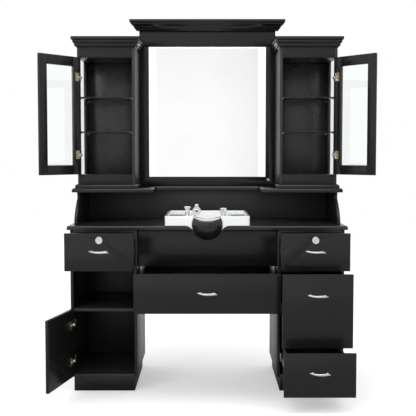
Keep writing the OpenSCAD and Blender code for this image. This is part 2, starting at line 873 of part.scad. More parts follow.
// Cup and flange on a door's inner face at the origin; the cup sinks in towards -Y
module hinge_cup() {
    difference() {
        union() {
            rod_y(cup_r, -cup_depth, eps);
            slab([-cup_r - flange_margin, cup_r + flange_margin], [0, flange_t],
                 [-flange_h / 2, flange_h / 2]);
        }
        rod_y(cup_r - cup_margin, -cup_depth + cup_margin, flange_t + 1);
    }
}

// Leaves and pin of the moving half about the pivot at the origin; back lists the leaf's far corners
module hinge_leaves(eye_r, pin_r, back) {
    z = arm_h / 2 + leaf_gap;
    for (side = [-1, 1]) translate([0, 0, side * (z + leaf_t / 2) - leaf_t / 2]) linear_extrude(leaf_t) {
        circle(r = eye_r, $fn = small_fn);
        polygon(concat([[0, -eye_r], [0, eye_r]], back));
    }
    translate([0, 0, -z - eps]) cylinder(h = 2 * z + 2 * eps, r = pin_r, $fn = small_fn);
}

// Fixed half: an eye at the origin, an arm that turns back along the side, and its plate over y
module hinge_arm(eye_r, pin_r, face_x, y, plate_t) {
    x = face_x - plate_t;
    translate([0, 0, -arm_h / 2]) difference() {
        union() {
            cylinder(h = arm_h, r = eye_r, $fn = small_fn);
            slab([x - arm_t, 0], [-eye_r, eye_r], [0, arm_h]);
            slab([x - arm_t, x], [-eye_r, y[1]], [0, arm_h]);
            slab([x - eps, face_x], y, [(arm_h - plate_h) / 2, (arm_h + plate_h) / 2]);
        }
        translate([0, 0, -1]) cylinder(h = arm_h + 2, r = pin_r + hinge_run, $fn = small_fn);
    }
}

lower_hinge_z = [lower_door_z0 + lower_hinge_in, lower_door_z1 - lower_hinge_in];
glass_hinge_z = [glass_door_z0 + glass_hinge_in, glass_door_z1 - glass_hinge_in];

// The glass doors' plates sit on the narrow stile ahead of the side windows
module hinge_arms() {
    stile_end = tower_y + window_stile - 1 - glass_pivot_y;
    color(nickel) {
        left_side() for (z = lower_hinge_z) translate([lower_pivot_x, lower_pivot_y, z])
            hinge_arm(lower_eye_r, lower_pin_r, pedestal_out_x - lower_pivot_x,
                      [lower_plate_in, lower_plate_in + lower_plate_d], lower_plate_t);
        both_sides() for (z = glass_hinge_z) translate([glass_pivot_x, glass_pivot_y, z])
            hinge_arm(glass_eye_r, glass_pin_r, tower_in_x1 - glass_pivot_x,
                      [stile_end - glass_plate_d, stile_end], glass_plate_t);
    }
}

// Turns a shut right-hand door about its pivot to where it stands open
module swung(x, y, open) {
    translate([x, y, 0]) rotate(open) translate([-x, -y, 0]) children();
}

module lower_door_leaf() {
    difference() {
        slab([lower_door_x0, lower_door_x1], [front_face_y, front_back_y], [lower_door_z0, lower_door_z1]);
        for (z = lower_hinge_z) {
            slab([lower_pivot_x - lower_pocket_in, lower_door_x1 + 1],
                 [front_face_y + lower_skin, front_back_y + 1], [z - pocket_h / 2, z + pocket_h / 2]);
            translate([lower_pivot_x - lower_pocket_in - cup_r - flange_margin - 1, 0, z])
                rod_y(cup_r, front_back_y - cup_depth, front_back_y + 1);
        }
    }
}
module lower_door() {
    color(black) left_side() swung(lower_pivot_x, lower_pivot_y, lower_door_open) lower_door_leaf();
}
module lower_door_fittings() {
    color(nickel) left_side() swung(lower_pivot_x, lower_pivot_y, lower_door_open) {
        for (z = lower_hinge_z) {
            translate([lower_pivot_x - lower_pocket_in - cup_r - flange_margin - 1, front_back_y, z])
                hinge_cup();
            translate([lower_pivot_x, lower_pivot_y, z])
                hinge_leaves(lower_eye_r, lower_pin_r,
                             [[-lower_pocket_in, lower_eye_r], [-lower_pocket_in, -lower_eye_r]]);
        }
        translate([lower_door_x0 + lower_pull_in, front_face_y, (lower_door_z0 + lower_door_z1) / 2])
            rotate([0, 90, 0]) bow_pull();
    }
}

// Stiles over the full height, and rails between them, round a glass door's opening
module glass_door_frame() {
    y = [tower_y, glass_inner_y];
    stile_x = glass_door_x1 - stile_w;
    difference() {
        union() {
            slab([glass_door_x0, glass_door_x0 + stile_w], y, [glass_door_z0, glass_door_z1]);
            slab([stile_x, glass_door_x1], y, [glass_door_z0, glass_door_z1]);
        }
        for (z = glass_hinge_z) {
            slab([glass_door_x1 - glass_pocket_in, glass_door_x1 + 1], [y[0] - 1, y[1] + 1],
                 [z - pocket_h / 2, z + pocket_h / 2]);
            translate([glass_door_x1 - glass_pocket_in - cup_r - flange_margin - 1, 0, z])
                rod_y(cup_r, y[1] - cup_depth, y[1] + 1);
        }
    }
    rail_x = [glass_door_x0 + stile_w + seam, stile_x - seam];
    slab(rail_x, y, [glass_door_z0, glass_door_z0 + rail_w]);
    slab(rail_x, y, [glass_door_z1 - rail_w, glass_door_z1]);
}
module glass_door_pane() {
    mid_y = tower_y + glass_door_t / 2;
    slab([glass_door_x0 + stile_w, glass_door_x1 - stile_w], [mid_y - pane_t / 2, mid_y + pane_t / 2],
         [glass_door_z0 + rail_w, glass_door_z1 - rail_w]);
}
module glass_door_hinges() {
    leaf_y = [tower_y + 1 - glass_pivot_y, glass_inner_y - 3 - glass_pivot_y];
    past_side = tower_in_x1 - leaf_gap - glass_pivot_x;
    leaf_x = glass_door_x1 - glass_pocket_in - glass_pivot_x;
    for (z = glass_hinge_z) {
        translate([glass_door_x1 - glass_pocket_in - cup_r - flange_margin - 1, glass_inner_y, z])
            hinge_cup();
        translate([glass_pivot_x, glass_pivot_y, z])
            hinge_leaves(glass_eye_r, glass_pin_r, [[past_side, glass_eye_r], [past_side, leaf_y[1]],
                                                    [leaf_x, leaf_y[1]], [leaf_x, leaf_y[0]]]);
    }
}
module open_glass_door() {
    swung(glass_pivot_x, glass_pivot_y, glass_door_open) children();
}
module right_glass_door_frame() { color(black) open_glass_door() glass_door_frame(); }
module right_glass_door_pane() { color(clear) open_glass_door() glass_door_pane(); }
module right_glass_door_hinges() { color(nickel) open_glass_door() glass_door_hinges(); }
module left_glass_door_frame() { color(black) left_side() open_glass_door() glass_door_frame(); }
module left_glass_door_pane() { color(clear) left_side() open_glass_door() glass_door_pane(); }
module left_glass_door_hinges() { color(nickel) left_side() open_glass_door() glass_door_hinges(); }

// Hutch

// How far back the bracket's front edge lies at height t, from 0 at the counter to 1 at the board:
// it sweeps back to its neck and comes forward again to the hutch board's front edge
bracket_steps = 24;
bracket_neck_t = 0.81;
bracket_neck_ahead = 16;
bracket_power = 1.9;
bracket_sweep = tower_y - bracket_neck_ahead - front_y - bracket_foot;
bracket_return = hutch_board_out - bracket_neck_ahead;
function bracket_y(t) = front_y + bracket_foot
    + bracket_sweep * pow(min(t / bracket_neck_t, 1), bracket_power)
    - bracket_return * (1 - cos(90 * max(t - bracket_neck_t, 0) / (1 - bracket_neck_t)));

module hutch_brackets() {
    edge = [for (i = [0:bracket_steps]) let (t = i / bracket_steps)
        [bracket_y(t), counter_top + t * hutch_gap_h]];
    color(black) both_sides() translate([tower_x + bracket_out - board_t, 0, 0]) rotate([90, 0, 90])
        linear_extrude(board_t) polygon(concat(edge,
            [[back_y, hutch_board_z], [back_y, counter_top]]));
}

module hutch_back() {
    x = tower_x + bracket_out - board_t;
    color(black) slab([-x, x], [back_y - hutch_back_t, back_y], [counter_top, hutch_board_z]);
}

// Board with deep parts under the towers and a narrow strip under the mirror
module hutch_board() {
    prof = board_edge(hutch_board_out, hutch_lip_out, hutch_board_t);
    x0 = bay_x - hutch_wing_in + hutch_board_out;
    color(black) {
        both_sides() moulded([x0, tower_x], [tower_y, back_y], hutch_board_z, prof);
        moulded([-x0, x0], [back_y - hutch_strip_d, back_y], hutch_board_z, prof);
    }
}

module hutch_moulding() {
    prof = board_edge(hutch_step_out, 0, hutch_step_t);
    color(black) both_sides() difference() {
        moulded([bay_x, tower_x], [tower_y, back_y], hutch_top, prof);
        slab([0, bay_x], [panel_y, back_y + 1], [hutch_top - 1, tower_z + 1]);
    }
}

// Outer side with its window: front stile, rear panel, and the parts over and under the glass
module tower_outer_sides() {
    x = [tower_in_x1, tower_x];
    window_y = [tower_y + window_stile, tower_y + window_stile + window_d];
    color(black) both_sides() {
        slab(x, [tower_y, window_y[0] - seam], [tower_z, tower_top]);
        slab(x, [window_y[1] + seam, back_y], [tower_z, tower_top]);
        slab(x, window_y, [tower_z, open_z]);
        slab(x, window_y, [open_top, tower_top]);
    }
}
module tower_windows() {
    mid_x = tower_x - board_t / 2;
    color(clear) both_sides() slab([mid_x - pane_t / 2, mid_x + pane_t / 2],
        [tower_y + window_stile, tower_y + window_stile + window_d], [open_z, open_top]);
}
module tower_inner_sides() {
    color(black) both_sides() slab([bay_x, tower_in_x0], [tower_y, back_y], [tower_z, tower_top]);
}
module tower_backs() {
    color(black) both_sides()
        slab([tower_in_x0, tower_in_x1], [tower_back_y, back_y], [tower_z, tower_top]);
}

// Bottom and frieze rails, and the floor and ceiling behind them
module tower_rails() {
    x = [tower_in_x0, tower_in_x1];
    behind = [tower_y + board_t + seam, tower_back_y];
    color(black) both_sides() {
        slab(x, [tower_y, tower_y + board_t], [tower_z, open_z]);
        slab(x, [tower_y, tower_y + board_t], [open_top, tower_top]);
        slab(x, behind, [open_z - board_t, open_z]);
        slab(x, behind, [open_top, open_top + board_t]);
    }
}

shelf_levels = [open_z + lower_shelf_h, open_z + upper_shelf_h];
module tower_shelves() {
    color(clear) both_sides() for (z = shelf_levels)
        slab([tower_in_x0 + seat, tower_in_x1 - seat], [tower_y + shelf_setback, tower_back_y - seat],
             [z, z + shelf_t]);
}
module shelf_pins() {
    color(chrome) both_sides() for (z = shelf_levels)
        for (y = [tower_y + window_stile - pin_ahead, tower_back_y - pin_inset])
            for (x = [tower_in_x0, tower_in_x1 - pin_len])
                translate([x, y, z - pin_r]) rotate([0, 90, 0])
                    cylinder(h = pin_len, r = pin_r, $fn = small_fn);
}

// Moulded crown round the top of a tower, open over the tower's inside
module tower_crowns() {
    color(black) both_sides() difference() {
        moulded([bay_x, tower_x], [tower_y, back_y], tower_top,
                tower_profile(tower_crown_h, tower_crown_out));
        slab([tower_in_x0, tower_in_x1], [tower_y + board_t, tower_back_y],
             [tower_top - 1, tower_top + tower_crown_h + 1]);
        slab([0, bay_x], [panel_y - seam, back_y + 1], [tower_top - 1, tower_top + tower_crown_h + 1]);
    }
}

// Mirror

// Panel between the towers, recessed for the mirror, its light channels and the light button
module mirror_panel() {
    color(black) difference() {
        slab([-bay_x, bay_x], [panel_y, back_y], [hutch_top, mirror_top]);
        slab([-mirror_x, mirror_x], [panel_y - 1, panel_y + mirror_t], [mirror_z, mirror_top + 1]);
        both_sides() slab([light_x + channel_inset, mirror_x - channel_inset],
            [panel_y, panel_y + mirror_t + channel_t],
            [mirror_z + channel_inset, mirror_top - channel_inset]);
        translate([button_x, 0, button_z]) {
            rod_y(button_r + tap_run, panel_y - 1, panel_y + button_pocket);
            rod_y(button_stem_r + tap_run, panel_y, back_y + 1);
        }
    }
}
module mirror_glass() {
    color(silvered) slab([-light_x, light_x], [panel_y, panel_y + mirror_t],
                         [mirror_z, mirror_top - top_light_h]);
}

// Upright light strips beside the mirror and the narrow one along its top
module light_strips() {
    y = [panel_y, panel_y + mirror_t];
    color(lit) {
        both_sides() slab([light_x, mirror_x], y, [mirror_z, mirror_top]);
        slab([seam - light_x, light_x - seam], y, [mirror_top - top_light_h, mirror_top]);
    }
}
module light_channels() {
    color(chrome) both_sides() slab([light_x + channel_inset, mirror_x - channel_inset],
        [panel_y + mirror_t, panel_y + mirror_t + channel_t],
        [mirror_z + channel_inset, mirror_top - channel_inset]);
}
module light_button() {
    color(chrome) translate([button_x, 0, button_z]) {
        rod_y(button_r, panel_y - button_proud, panel_y - button_proud + button_cap_t);
        rod_y(button_stem_r, panel_y, back_y - button_proud);
    }
}

module centre_frieze() {
    color(black) slab([-bay_x, bay_x], [panel_y, back_y], [mirror_top, centre_top]);
}
module centre_crown() {
    color(black) moulded([-bay_x, bay_x], [panel_y, back_y], centre_top,
                         centre_profile(centre_crown_h, centre_crown_out));
}

// Wash bowl

// Outline of the deck, drawn in by inset
module deck_outline(inset) {
    r = max(bowl_corner_r - inset, 2);
    x = bowl_x - inset;
    y = [bowl_y0 + inset, bowl_y1 - inset];
    for (cx = [r - x, x - r]) for (cy = [y[0] + r, y[1] - r]) translate([cx, cy]) circle(r = r);
    translate([-x, y[0] + r]) square([2 * x, y[1] - y[0] - 2 * r]);
    translate([r - x, y[0]]) square([2 * (x - r), y[1] - y[0]]);
}

// Basin: a round neck that opens into a wide end, drawn in towards its floor
module basin(grow, z0, z1) {
    disc_t = 1;
    hull($fn = small_fn) {
        translate([0, basin_neck_y, z1 - disc_t]) cylinder(h = disc_t, r = basin_neck_r + grow);
        for (x = [-1, 1]) for (y = [basin_wide_y0, basin_wide_y1])
            translate([x * (basin_half_w - basin_corner_r), y, z1 - disc_t])
                cylinder(h = disc_t, r = basin_corner_r + grow);
        translate([0, basin_floor_y, z0]) cylinder(h = disc_t, r = basin_floor_r + grow);
    }
}

// Collar that hangs from the deck beside the neck opening, ending in two horns
module collar_horns() {
    both_sides() translate([0, bowl_y0 + horn_t, 0]) rotate([90, 0, 0]) linear_extrude(horn_t)
        difference() {
            translate([collar_r / 2, horn_foot]) square([horn_x - collar_r / 2, counter_top + 1 - horn_foot]);
            translate([horn_x, counter_top + seat - horn_r]) circle(r = horn_r);
            translate([0, collar_z]) circle(r = collar_r);
        }
}

module bowl() {
    color(porcelain) difference() {
        union() {
            difference() {
                translate([0, 0, counter_top + seat]) linear_extrude(bowl_h) deck_outline(0);
                translate([0, 0, counter_top - 1]) linear_extrude(deck_z - deck_t - counter_top + 1)
                    deck_outline(rim_w);
                translate([0, 0, deck_z]) linear_extrude(deck_drop + 1) deck_outline(rim_w);
            }
            // Front block that holds the neck opening
            slab([-collar_r - rim_w, collar_r + rim_w], [bowl_y0 + 1, bowl_y0 + notch_d + bowl_wall],
                 [counter_top + seat, deck_z]);
            basin(bowl_wall, basin_z - bowl_wall, deck_z);
            collar_horns();
        }
        basin(0, basin_z, bowl_top + 1);
        translate([0, 0, collar_z]) rod_y(collar_r, bowl_y0 - 1, bowl_y0 + notch_d);
        translate([0, 0, saddle_z]) rod_y(saddle_r, bowl_y0 - 1, basin_neck_y);
        translate([0, drain_y, basin_z - bowl_wall - 1]) cylinder(h = bowl_wall + 2, r = waste_r);
        for (x = [-left_tap_x, right_tap_x]) translate([x, tap_y, counter_top])
            cylinder(h = bowl_h, r = tap_tail_r + tap_hole_run);
    }
}

// Rubber neck rest: a bulging pad in front of the collar and a block that fills the opening
module neck_rest() {
    r = collar_r - seat;
    ball_y = bowl_y0 - rest_t + rest_ball_r;
    back = front_y - counter_overhang - seat;
    color(rubber) difference() {
        union() {
            intersection() {
                translate([0, ball_y, collar_z]) sphere(r = rest_ball_r);
                translate([0, 0, collar_z]) rod_y(r, bowl_y0 - rest_t - 1, back);
            }
            intersection() {
                translate([0, 0, collar_z]) rod_y(r, back - eps, bowl_y0 + notch_d - seat);
                slab([-r, r], [back - 1, bowl_y0 + notch_d], [counter_top + seat, bowl_top]);
            }
        }
        translate([0, 0, saddle_z - rest_drop]) rod_y(saddle_r, bowl_y0 - rest_t - 1, bowl_y0 + notch_d);
    }
}

// Strainer flange and tailpiece in the basin's floor, and the trap with its outlet to the back
module bowl_waste() {
    color(chrome) {
        difference() {
            union() {
                translate([0, drain_y, basin_z]) cylinder(h = drain_flange_t, r = drain_flange_r);
                translate([0, drain_y, trap_z + trap_h])
                    cylinder(h = basin_z - trap_z - trap_h + 1, r = waste_r);
            }
            for (i = [0:strainer_holes - 1]) rotate_about([0, drain_y], 360 / strainer_holes * i)
                translate([waste_r / 2, drain_y, basin_z - 2])
                    cylinder(h = drain_flange_t + 3, r = strainer_hole_r, $fn = small_fn);
        }
        translate([0, drain_y, trap_z]) cylinder(h = trap_h, r = trap_r);
        translate([0, 0, outlet_z]) {
            rod_y(waste_r, drain_y, back_y - spigot_len + eps);
            rod_y(spigot_r, back_y - spigot_len, back_y);
        }
    }
}

// Turns a piece about the upright axis through p
module rotate_about(p, angle) {
    translate([p[0], p[1], 0]) rotate(angle) translate([-p[0], -p[1], 0]) children();
}

// Tap body on the deck: flange, neck, stem for the knob, threaded tail and its nut
module tap_body(neck_h) {
    translate([0, 0, deck_z]) {
        cylinder(h = tap_flange_t, r = tap_r + tap_flange_lip);
        cylinder(h = neck_h, r = tap_neck_r);
        cylinder(h = neck_h + tap_stem_h, r = tap_stem_r);
        translate([0, 0, -tail_drop]) cylinder(h = tail_drop + 1, r = tap_tail_r);
        translate([0, 0, -deck_t - nut_t]) cylinder(h = nut_t, r = nut_r, $fn = 6);
    }
}
left_neck_h = left_tap_h - tap_knob_h - seat;
right_neck_h = right_tap_h - right_knob_h - seat;

// Both tap bodies and the socket that holds the spray
module tap_bodies() {
    color(chrome) {
        translate([-left_tap_x, tap_y, 0]) tap_body(left_neck_h);
        translate([right_tap_x, tap_y, 0]) tap_body(right_neck_h);
        translate([spray_x, spray_y, deck_z]) difference() {
            cylinder(h = holder_h, r = holder_r);
            translate([0, 0, spray_seat_h]) cylinder(h = holder_h, r = spray_stem_r + tap_run);
        }
    }
}

// Knob with a bore for the tap's stem; outline holds [radius, height] pairs
module tap_knob(outline, h) {
    difference() {
        rotate_extrude() polygon(concat([[0, 0]], outline, [[0, h]]));
        translate([0, 0, -1]) cylinder(h = tap_stem_h + 2, r = tap_stem_r + tap_run);
    }
}
module left_tap_knob() {
    h = tap_knob_h;
    color(chrome) translate([-left_tap_x, tap_y, deck_z + left_tap_h - h])
        tap_knob([[tap_neck_r + 2, 0], [tap_neck_r, 0.64 * h], [tap_r, 0.77 * h], [tap_r, 0.95 * h],
                  [tap_r - 2, h]], h);
}
module right_tap_knob() {
    h = right_knob_h;
    color(chrome) translate([right_tap_x, tap_y, deck_z + right_tap_h - h])
        tap_knob([[tap_r - 3.5, 0], [tap_r - 3.5, 0.72 * h], [tap_r, 0.8 * h], [tap_r, 0.95 * h],
                  [tap_r - 2, h]], h);
}

// Spray head: a stem in its socket, an elbow, a round face that leans to the front and a thumb valve
module spray_head() {
    color(chrome) difference() {
        union() {
            translate([spray_x, spray_y, deck_z + spray_seat_h + seat])
                cylinder(h = spray_elbow_z - deck_z - spray_seat_h - seat, r = spray_stem_r);
            translate([spray_x, spray_y, spray_elbow_z]) {
                sphere(r = spray_ball_r);
                translate(spray_face) rotate([spray_tilt, 0, 0]) {
                    cylinder(h = spray_face_t, r = spray_r);
                    translate([0, 0, -spray_neck_len])
                        cylinder(h = spray_neck_len + 1, r = spray_neck_r);
                }
                translate(spray_face + [0, spray_valve_back, 0]) {
                    cylinder(h = spray_valve_h, r = spray_valve_r);
                    translate([0, 0, spray_valve_h - spray_cap_h]) cylinder(h = spray_cap_h, r = spray_cap_r);
                }
            }
        }
        translate([spray_x, spray_y, spray_elbow_z]) translate(spray_face) rotate([spray_tilt, 0, 0])
            translate([0, 0, spray_face_t / 2]) cylinder(h = spray_face_t, r = spray_hole_r);
    }
}

plinths();
pedestal_outer_sides();
pedestal_inner_sides();
pedestal_boards();
left_shelves();
kneehole_rails();
slide_channels();
hinge_arms();
counter();
bowl();
neck_rest();
bowl_waste();
tap_bodies();
hutch_brackets();
hutch_back();
hutch_board();
hutch_moulding();
tower_outer_sides();
tower_windows();
tower_inner_sides();
tower_backs();
tower_rails();
tower_shelves();
shelf_pins();
tower_crowns();
mirror_panel();
mirror_glass();
light_strips();
light_channels();
centre_frieze();
centre_crown();
light_button();
left_tap_knob();
right_tap_knob();
spray_head();
left_glass_door_frame();
left_glass_door_pane();
left_glass_door_hinges();
right_glass_door_frame();
right_glass_door_pane();
right_glass_door_hinges();
lower_door();
lower_door_fittings();
left_top_drawer_front();
left_top_drawer_box();
left_top_drawer_fittings();
left_lock();
right_top_drawer_front();
right_top_drawer_box();
right_top_drawer_fittings();
right_lock();
middle_drawer_front();
middle_drawer_box();
middle_drawer_fittings();
bottom_drawer_front();
bottom_drawer_box();
bottom_drawer_fittings();
centre_drawer_front();
centre_drawer_box();
centre_drawer_fittings();
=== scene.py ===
"""Salon shampoo station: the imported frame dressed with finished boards, mouldings, metal and porcelain."""

import json
import logging
import math
from dataclasses import dataclass
from enum import Enum
from functools import cache
from typing import Any, Callable, Mapping, Optional, Sequence, Union

import bmesh
import bpy
import numpy as np
from mathutils import Matrix, Vector


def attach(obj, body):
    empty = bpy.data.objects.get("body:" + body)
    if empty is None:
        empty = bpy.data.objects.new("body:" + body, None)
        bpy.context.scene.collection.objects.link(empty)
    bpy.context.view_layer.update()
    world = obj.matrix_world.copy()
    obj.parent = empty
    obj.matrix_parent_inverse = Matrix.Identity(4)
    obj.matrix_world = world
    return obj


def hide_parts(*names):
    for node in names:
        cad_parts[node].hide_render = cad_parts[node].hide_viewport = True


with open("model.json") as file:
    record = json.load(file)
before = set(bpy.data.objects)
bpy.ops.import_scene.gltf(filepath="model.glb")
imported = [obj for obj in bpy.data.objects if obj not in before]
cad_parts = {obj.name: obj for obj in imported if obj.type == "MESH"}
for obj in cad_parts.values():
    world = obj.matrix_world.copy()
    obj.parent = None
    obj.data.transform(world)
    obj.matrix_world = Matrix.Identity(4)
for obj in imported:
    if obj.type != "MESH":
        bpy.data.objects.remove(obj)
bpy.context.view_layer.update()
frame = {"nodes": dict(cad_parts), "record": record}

LOG = logging.getLogger("shampoo_station")
MM = 0.001
MERGE = 2e-6
UP = Vector((0.0, 0.0, 1.0))
AT_ORIGIN = ((Vector(), UP),)
# Lays a lathe's axis along -Y
ALONG_Y = Matrix.Rotation(math.radians(90.0), 3, "X")
# Swaps left and right
MIRRORED = Matrix.Scale(-1, 4, (1, 0, 0))
Pair = tuple[float, float]
Triple = tuple[float, float, float]
Value = Union["Sock", float]
Colour = Union["Sock", float, Triple]
Seats = Sequence[tuple[Vector, Vector]]
BODY_OF: dict[str, str] = {
    node: body for body, nodes in frame["record"]["behaviour"]["bodies"].items() for node in nodes}


# Node graphs

def maths(operation: str, flipped: bool = False) -> Callable[["Sock", Value], "Sock"]:
    """Makes a method that adds one Math node with a socket and another value.

    Args:
        operation: The node's operation, such as "ADD".
        flipped: Whether the other value comes first.

    Returns:
        The method.
    """
    def method(self: "Sock", other: Value) -> "Sock":
        """Adds the node and returns its output."""
        return self.math(operation, *((other, self) if flipped else (self, other)))
    return method


class Sock:
    """An output socket whose arithmetic adds Math nodes to its graph."""

    __add__, __radd__ = maths("ADD"), maths("ADD", flipped=True)
    __sub__, __rsub__ = maths("SUBTRACT"), maths("SUBTRACT", flipped=True)
    __mul__, __rmul__ = maths("MULTIPLY"), maths("MULTIPLY", flipped=True)
    __truediv__, __pow__ = maths("DIVIDE"), maths("POWER")
    less, least, most = maths("LESS_THAN"), maths("MINIMUM"), maths("MAXIMUM")

    def __init__(self, graph: "Graph", socket: bpy.types.NodeSocket) -> None:
        """Keeps the graph and the socket."""
        self.graph, self.socket = graph, socket

    def math(self, operation: str, *values: Value) -> "Sock":
        """Adds one Math node, such as "ADD", with links or numbers for its inputs."""
        return self.graph.node("ShaderNodeMath", dict(enumerate(values)), operation=operation)

    def sine(self) -> "Sock":
        """Sine of an angle in radians."""
        return self.math("SINE", self)

    def unsigned(self) -> "Sock":
        """The number without its sign."""
        return self.math("ABSOLUTE", self)


def rgba(colour: Colour) -> Union[Sock, tuple[float, ...]]:
    """A grey level or a colour with its alpha; a link stays as it is."""
    if isinstance(colour, Sock):
        return colour
    return (colour, colour, colour, 1.0) if isinstance(colour, float) else (*colour, 1.0)


class Graph:
    """A node tree with one method that adds any node."""

    def __init__(self, tree: bpy.types.NodeTree) -> None:
        """Keeps the tree."""
        self.tree = tree

    def node(self, kind: str, sockets: Optional[Mapping[Union[str, int], Any]] = None,
             out: Union[str, int] = 0, **settings: Any) -> Sock:
        """Adds a node, sets it up and fills its inputs.

        Args:
            kind: The node's type, such as "ShaderNodeTexNoise".
            sockets: Values, links or lists of links by the input's name or number.
            out: Name or number of the output that is returned.
            **settings: Values of the node's properties, which are set first.

        Returns:
            The output.
        """
        node = self.tree.nodes.new(kind)
        for name, value in settings.items():
            setattr(node, name, value)
        for name, value in (sockets or {}).items():
            for item in value if isinstance(value, list) else [value]:
                if isinstance(item, Sock):
                    self.tree.links.new(item.socket, node.inputs[name])
                else:
                    node.inputs[name].default_value = item
        return Sock(self, node.outputs[out])

    def end(self, kind: str, shader: Sock) -> None:
        """Adds an output node and joins a shader to its surface."""
        self.tree.links.new(shader.socket, self.tree.nodes.new(kind).inputs["Surface"])

    def vector(self, x: Value = 0.0, y: Value = 0.0, z: Value = 0.0) -> Sock:
        """A vector from its three parts."""
        return self.node("ShaderNodeCombineXYZ", {"X": x, "Y": y, "Z": z})

    def mix(self, factor: Sock, a: Colour, b: Colour) -> Sock:
        """Colour between a and b."""
        return self.node("ShaderNodeMix", {0: factor, 6: rgba(a), 7: rgba(b)}, 2, data_type="RGBA")

    def ramp(self, value: Sock, lo: float, hi: float) -> Sock:
        """0 below lo, 1 above hi and smooth between them."""
        return self.node("ShaderNodeMapRange", {"Value": value, "From Min": lo, "From Max": hi},
                         interpolation_type="SMOOTHSTEP")

    def part(self, vector: Sock, axis: str) -> Sock:
        """One axis of a vector."""
        return self.node("ShaderNodeSeparateXYZ", {0: vector}, axis)

    def ray(self, kind: str) -> Sock:
        """1 for rays of a kind, such as "Camera", else 0."""
        return self.node("ShaderNodeLightPath", out=f"Is {kind} Ray")

    def either(self, factor: Sock, a: Sock, b: Sock) -> Sock:
        """Shader a where the factor is 0, b where it is 1."""
        return self.node("ShaderNodeMixShader", {0: factor, 1: a, 2: b})


class Shading(Graph):
    """The graph of one material."""

    def __init__(self, name: str) -> None:
        """Creates the material and empties its tree."""
        self.material = bpy.data.materials.new(name)
        self.material.use_nodes = True
        self.material.node_tree.nodes.clear()
        super().__init__(self.material.node_tree)
        self.place = self.node("ShaderNodeTexCoord", out="Object")

    def noise(self, scale: float, detail: float = 2.0, vector: Optional[Sock] = None) -> Sock:
        """Noise from 0 to 1 with so many waves per metre, on Object coordinates or others."""
        return self.node("ShaderNodeTexNoise", {
            "Vector": vector or self.place, "Scale": scale, "Detail": detail})

    def bump(self, height: Sock, depth: float, strength: float) -> Sock:
        """Normal from a height that is depth metres high."""
        return self.node("ShaderNodeBump", {"Height": height, "Distance": depth, "Strength": strength})

    def surface(self, sockets: Mapping[str, Any]) -> Sock:
        """A Principled shader with these inputs."""
        return self.node("ShaderNodeBsdfPrincipled", sockets)


# Finishes

@dataclass(frozen=True)
class Finish:
    """A finish: the name of its material and its slot in the record."""

    name: str
    slot: str

    def shader(self, g: Shading) -> Sock:
        """Adds the finish's shader to a material's graph and returns it."""
        raise NotImplementedError


@cache
def paint_of(finish: Finish) -> bpy.types.Material:
    """The material of a finish, made once."""
    g = Shading(finish.name)
    g.end("ShaderNodeOutputMaterial", finish.shader(g))
    return g.material


@dataclass(frozen=True)
class Laminate(Finish):
    """Satin laminate on board, with a fine pebbled skin and faint cloudy gloss."""

    slot: str = "black_laminate"
    dark: float = 0.0070
    light: float = 0.0095
    roughness: float = 0.25
    specular: float = 0.35
    pebble_depth: float = 0.00003

    def shader(self, g: Shading) -> Sock:
        """Adds the shader."""
        cloud, handling, pebble, long_wave = (
            g.noise(*waves) for waves in ((2.3, 3.0), (9.0, 4.0), (1300.0, 2.0), (14.0, 1.0)))
        return g.surface({
            "Base Color": g.mix(cloud, self.dark, self.light),
            "Roughness": self.roughness + (handling - 0.5) * 0.10 + (pebble - 0.5) * 0.05,
            "Specular IOR Level": self.specular,
            "Normal": g.bump(pebble * 0.8 + long_wave * 1.6, self.pebble_depth, 0.5)})


class MetalLook(Enum):
    """How a metal is worked, with how far its roughness varies."""

    POLISHED = 0.05
    PLATED = 0.12
    ROLLED = 0.2


@dataclass(frozen=True)
class Metal(Finish):
    """Bare or plated metal: polished, evenly plated, or rolled with streaks along Y."""

    colour: Triple
    roughness: float
    look: MetalLook = MetalLook.POLISHED

    def shader(self, g: Shading) -> Sock:
        """Adds the shader."""
        smear = g.noise(60.0, 3.0)
        if self.look is MetalLook.ROLLED:
            streaks = g.node("ShaderNodeMapping", {"Vector": g.place, "Scale": (1.0, 0.02, 1.0)})
            grain = g.noise(900.0, 3.0, streaks)
        else:
            grain = g.noise(1500.0)
        spread = self.look.value
        return g.surface({
            "Base Color": g.mix(smear, tuple(0.86 * c for c in self.colour), self.colour),
            "Metallic": 1.0,
            "Roughness": self.roughness + (smear - 0.5) * spread + (grain - 0.5) * spread * 0.6,
            "Normal": g.bump(grain, 0.00001, 0.35)})


@dataclass(frozen=True)
class Glaze(Finish):
    """White sanitary glaze, faintly uneven under a clear gloss."""

    white: Triple = (0.84, 0.85, 0.85)
    shade: Triple = (0.78, 0.79, 0.80)

    def shader(self, g: Shading) -> Sock:
        """Adds the shader."""
        pool = g.noise(38.0)
        return g.surface({
            "Base Color": g.mix(g.noise(7.0, 3.0), self.shade, self.white),
            "Roughness": 0.13 + (pool - 0.5) * 0.08,
            "Coat Weight": 0.45,
            "Coat Roughness": 0.05,
            "Normal": g.bump(pool, 0.0002, 0.12)})


@dataclass(frozen=True)
class Rubber(Finish):
    """Moulded rubber with a leathery skin, glossier where it is rubbed."""

    def shader(self, g: Shading) -> Sock:
        """Adds the shader."""
        rubbed = g.ramp(g.noise(16.0, 3.0), 0.42, 0.66)
        cell = g.node("ShaderNodeTexVoronoi", {"Vector": g.place, "Scale": 620.0})
        return g.surface({
            "Base Color": g.mix(rubbed, 0.006, 0.010),
            "Roughness": 0.30 - rubbed * 0.08,
            "Specular IOR Level": 0.6,
            "Normal": g.bump(cell, 0.00012, 0.18)})


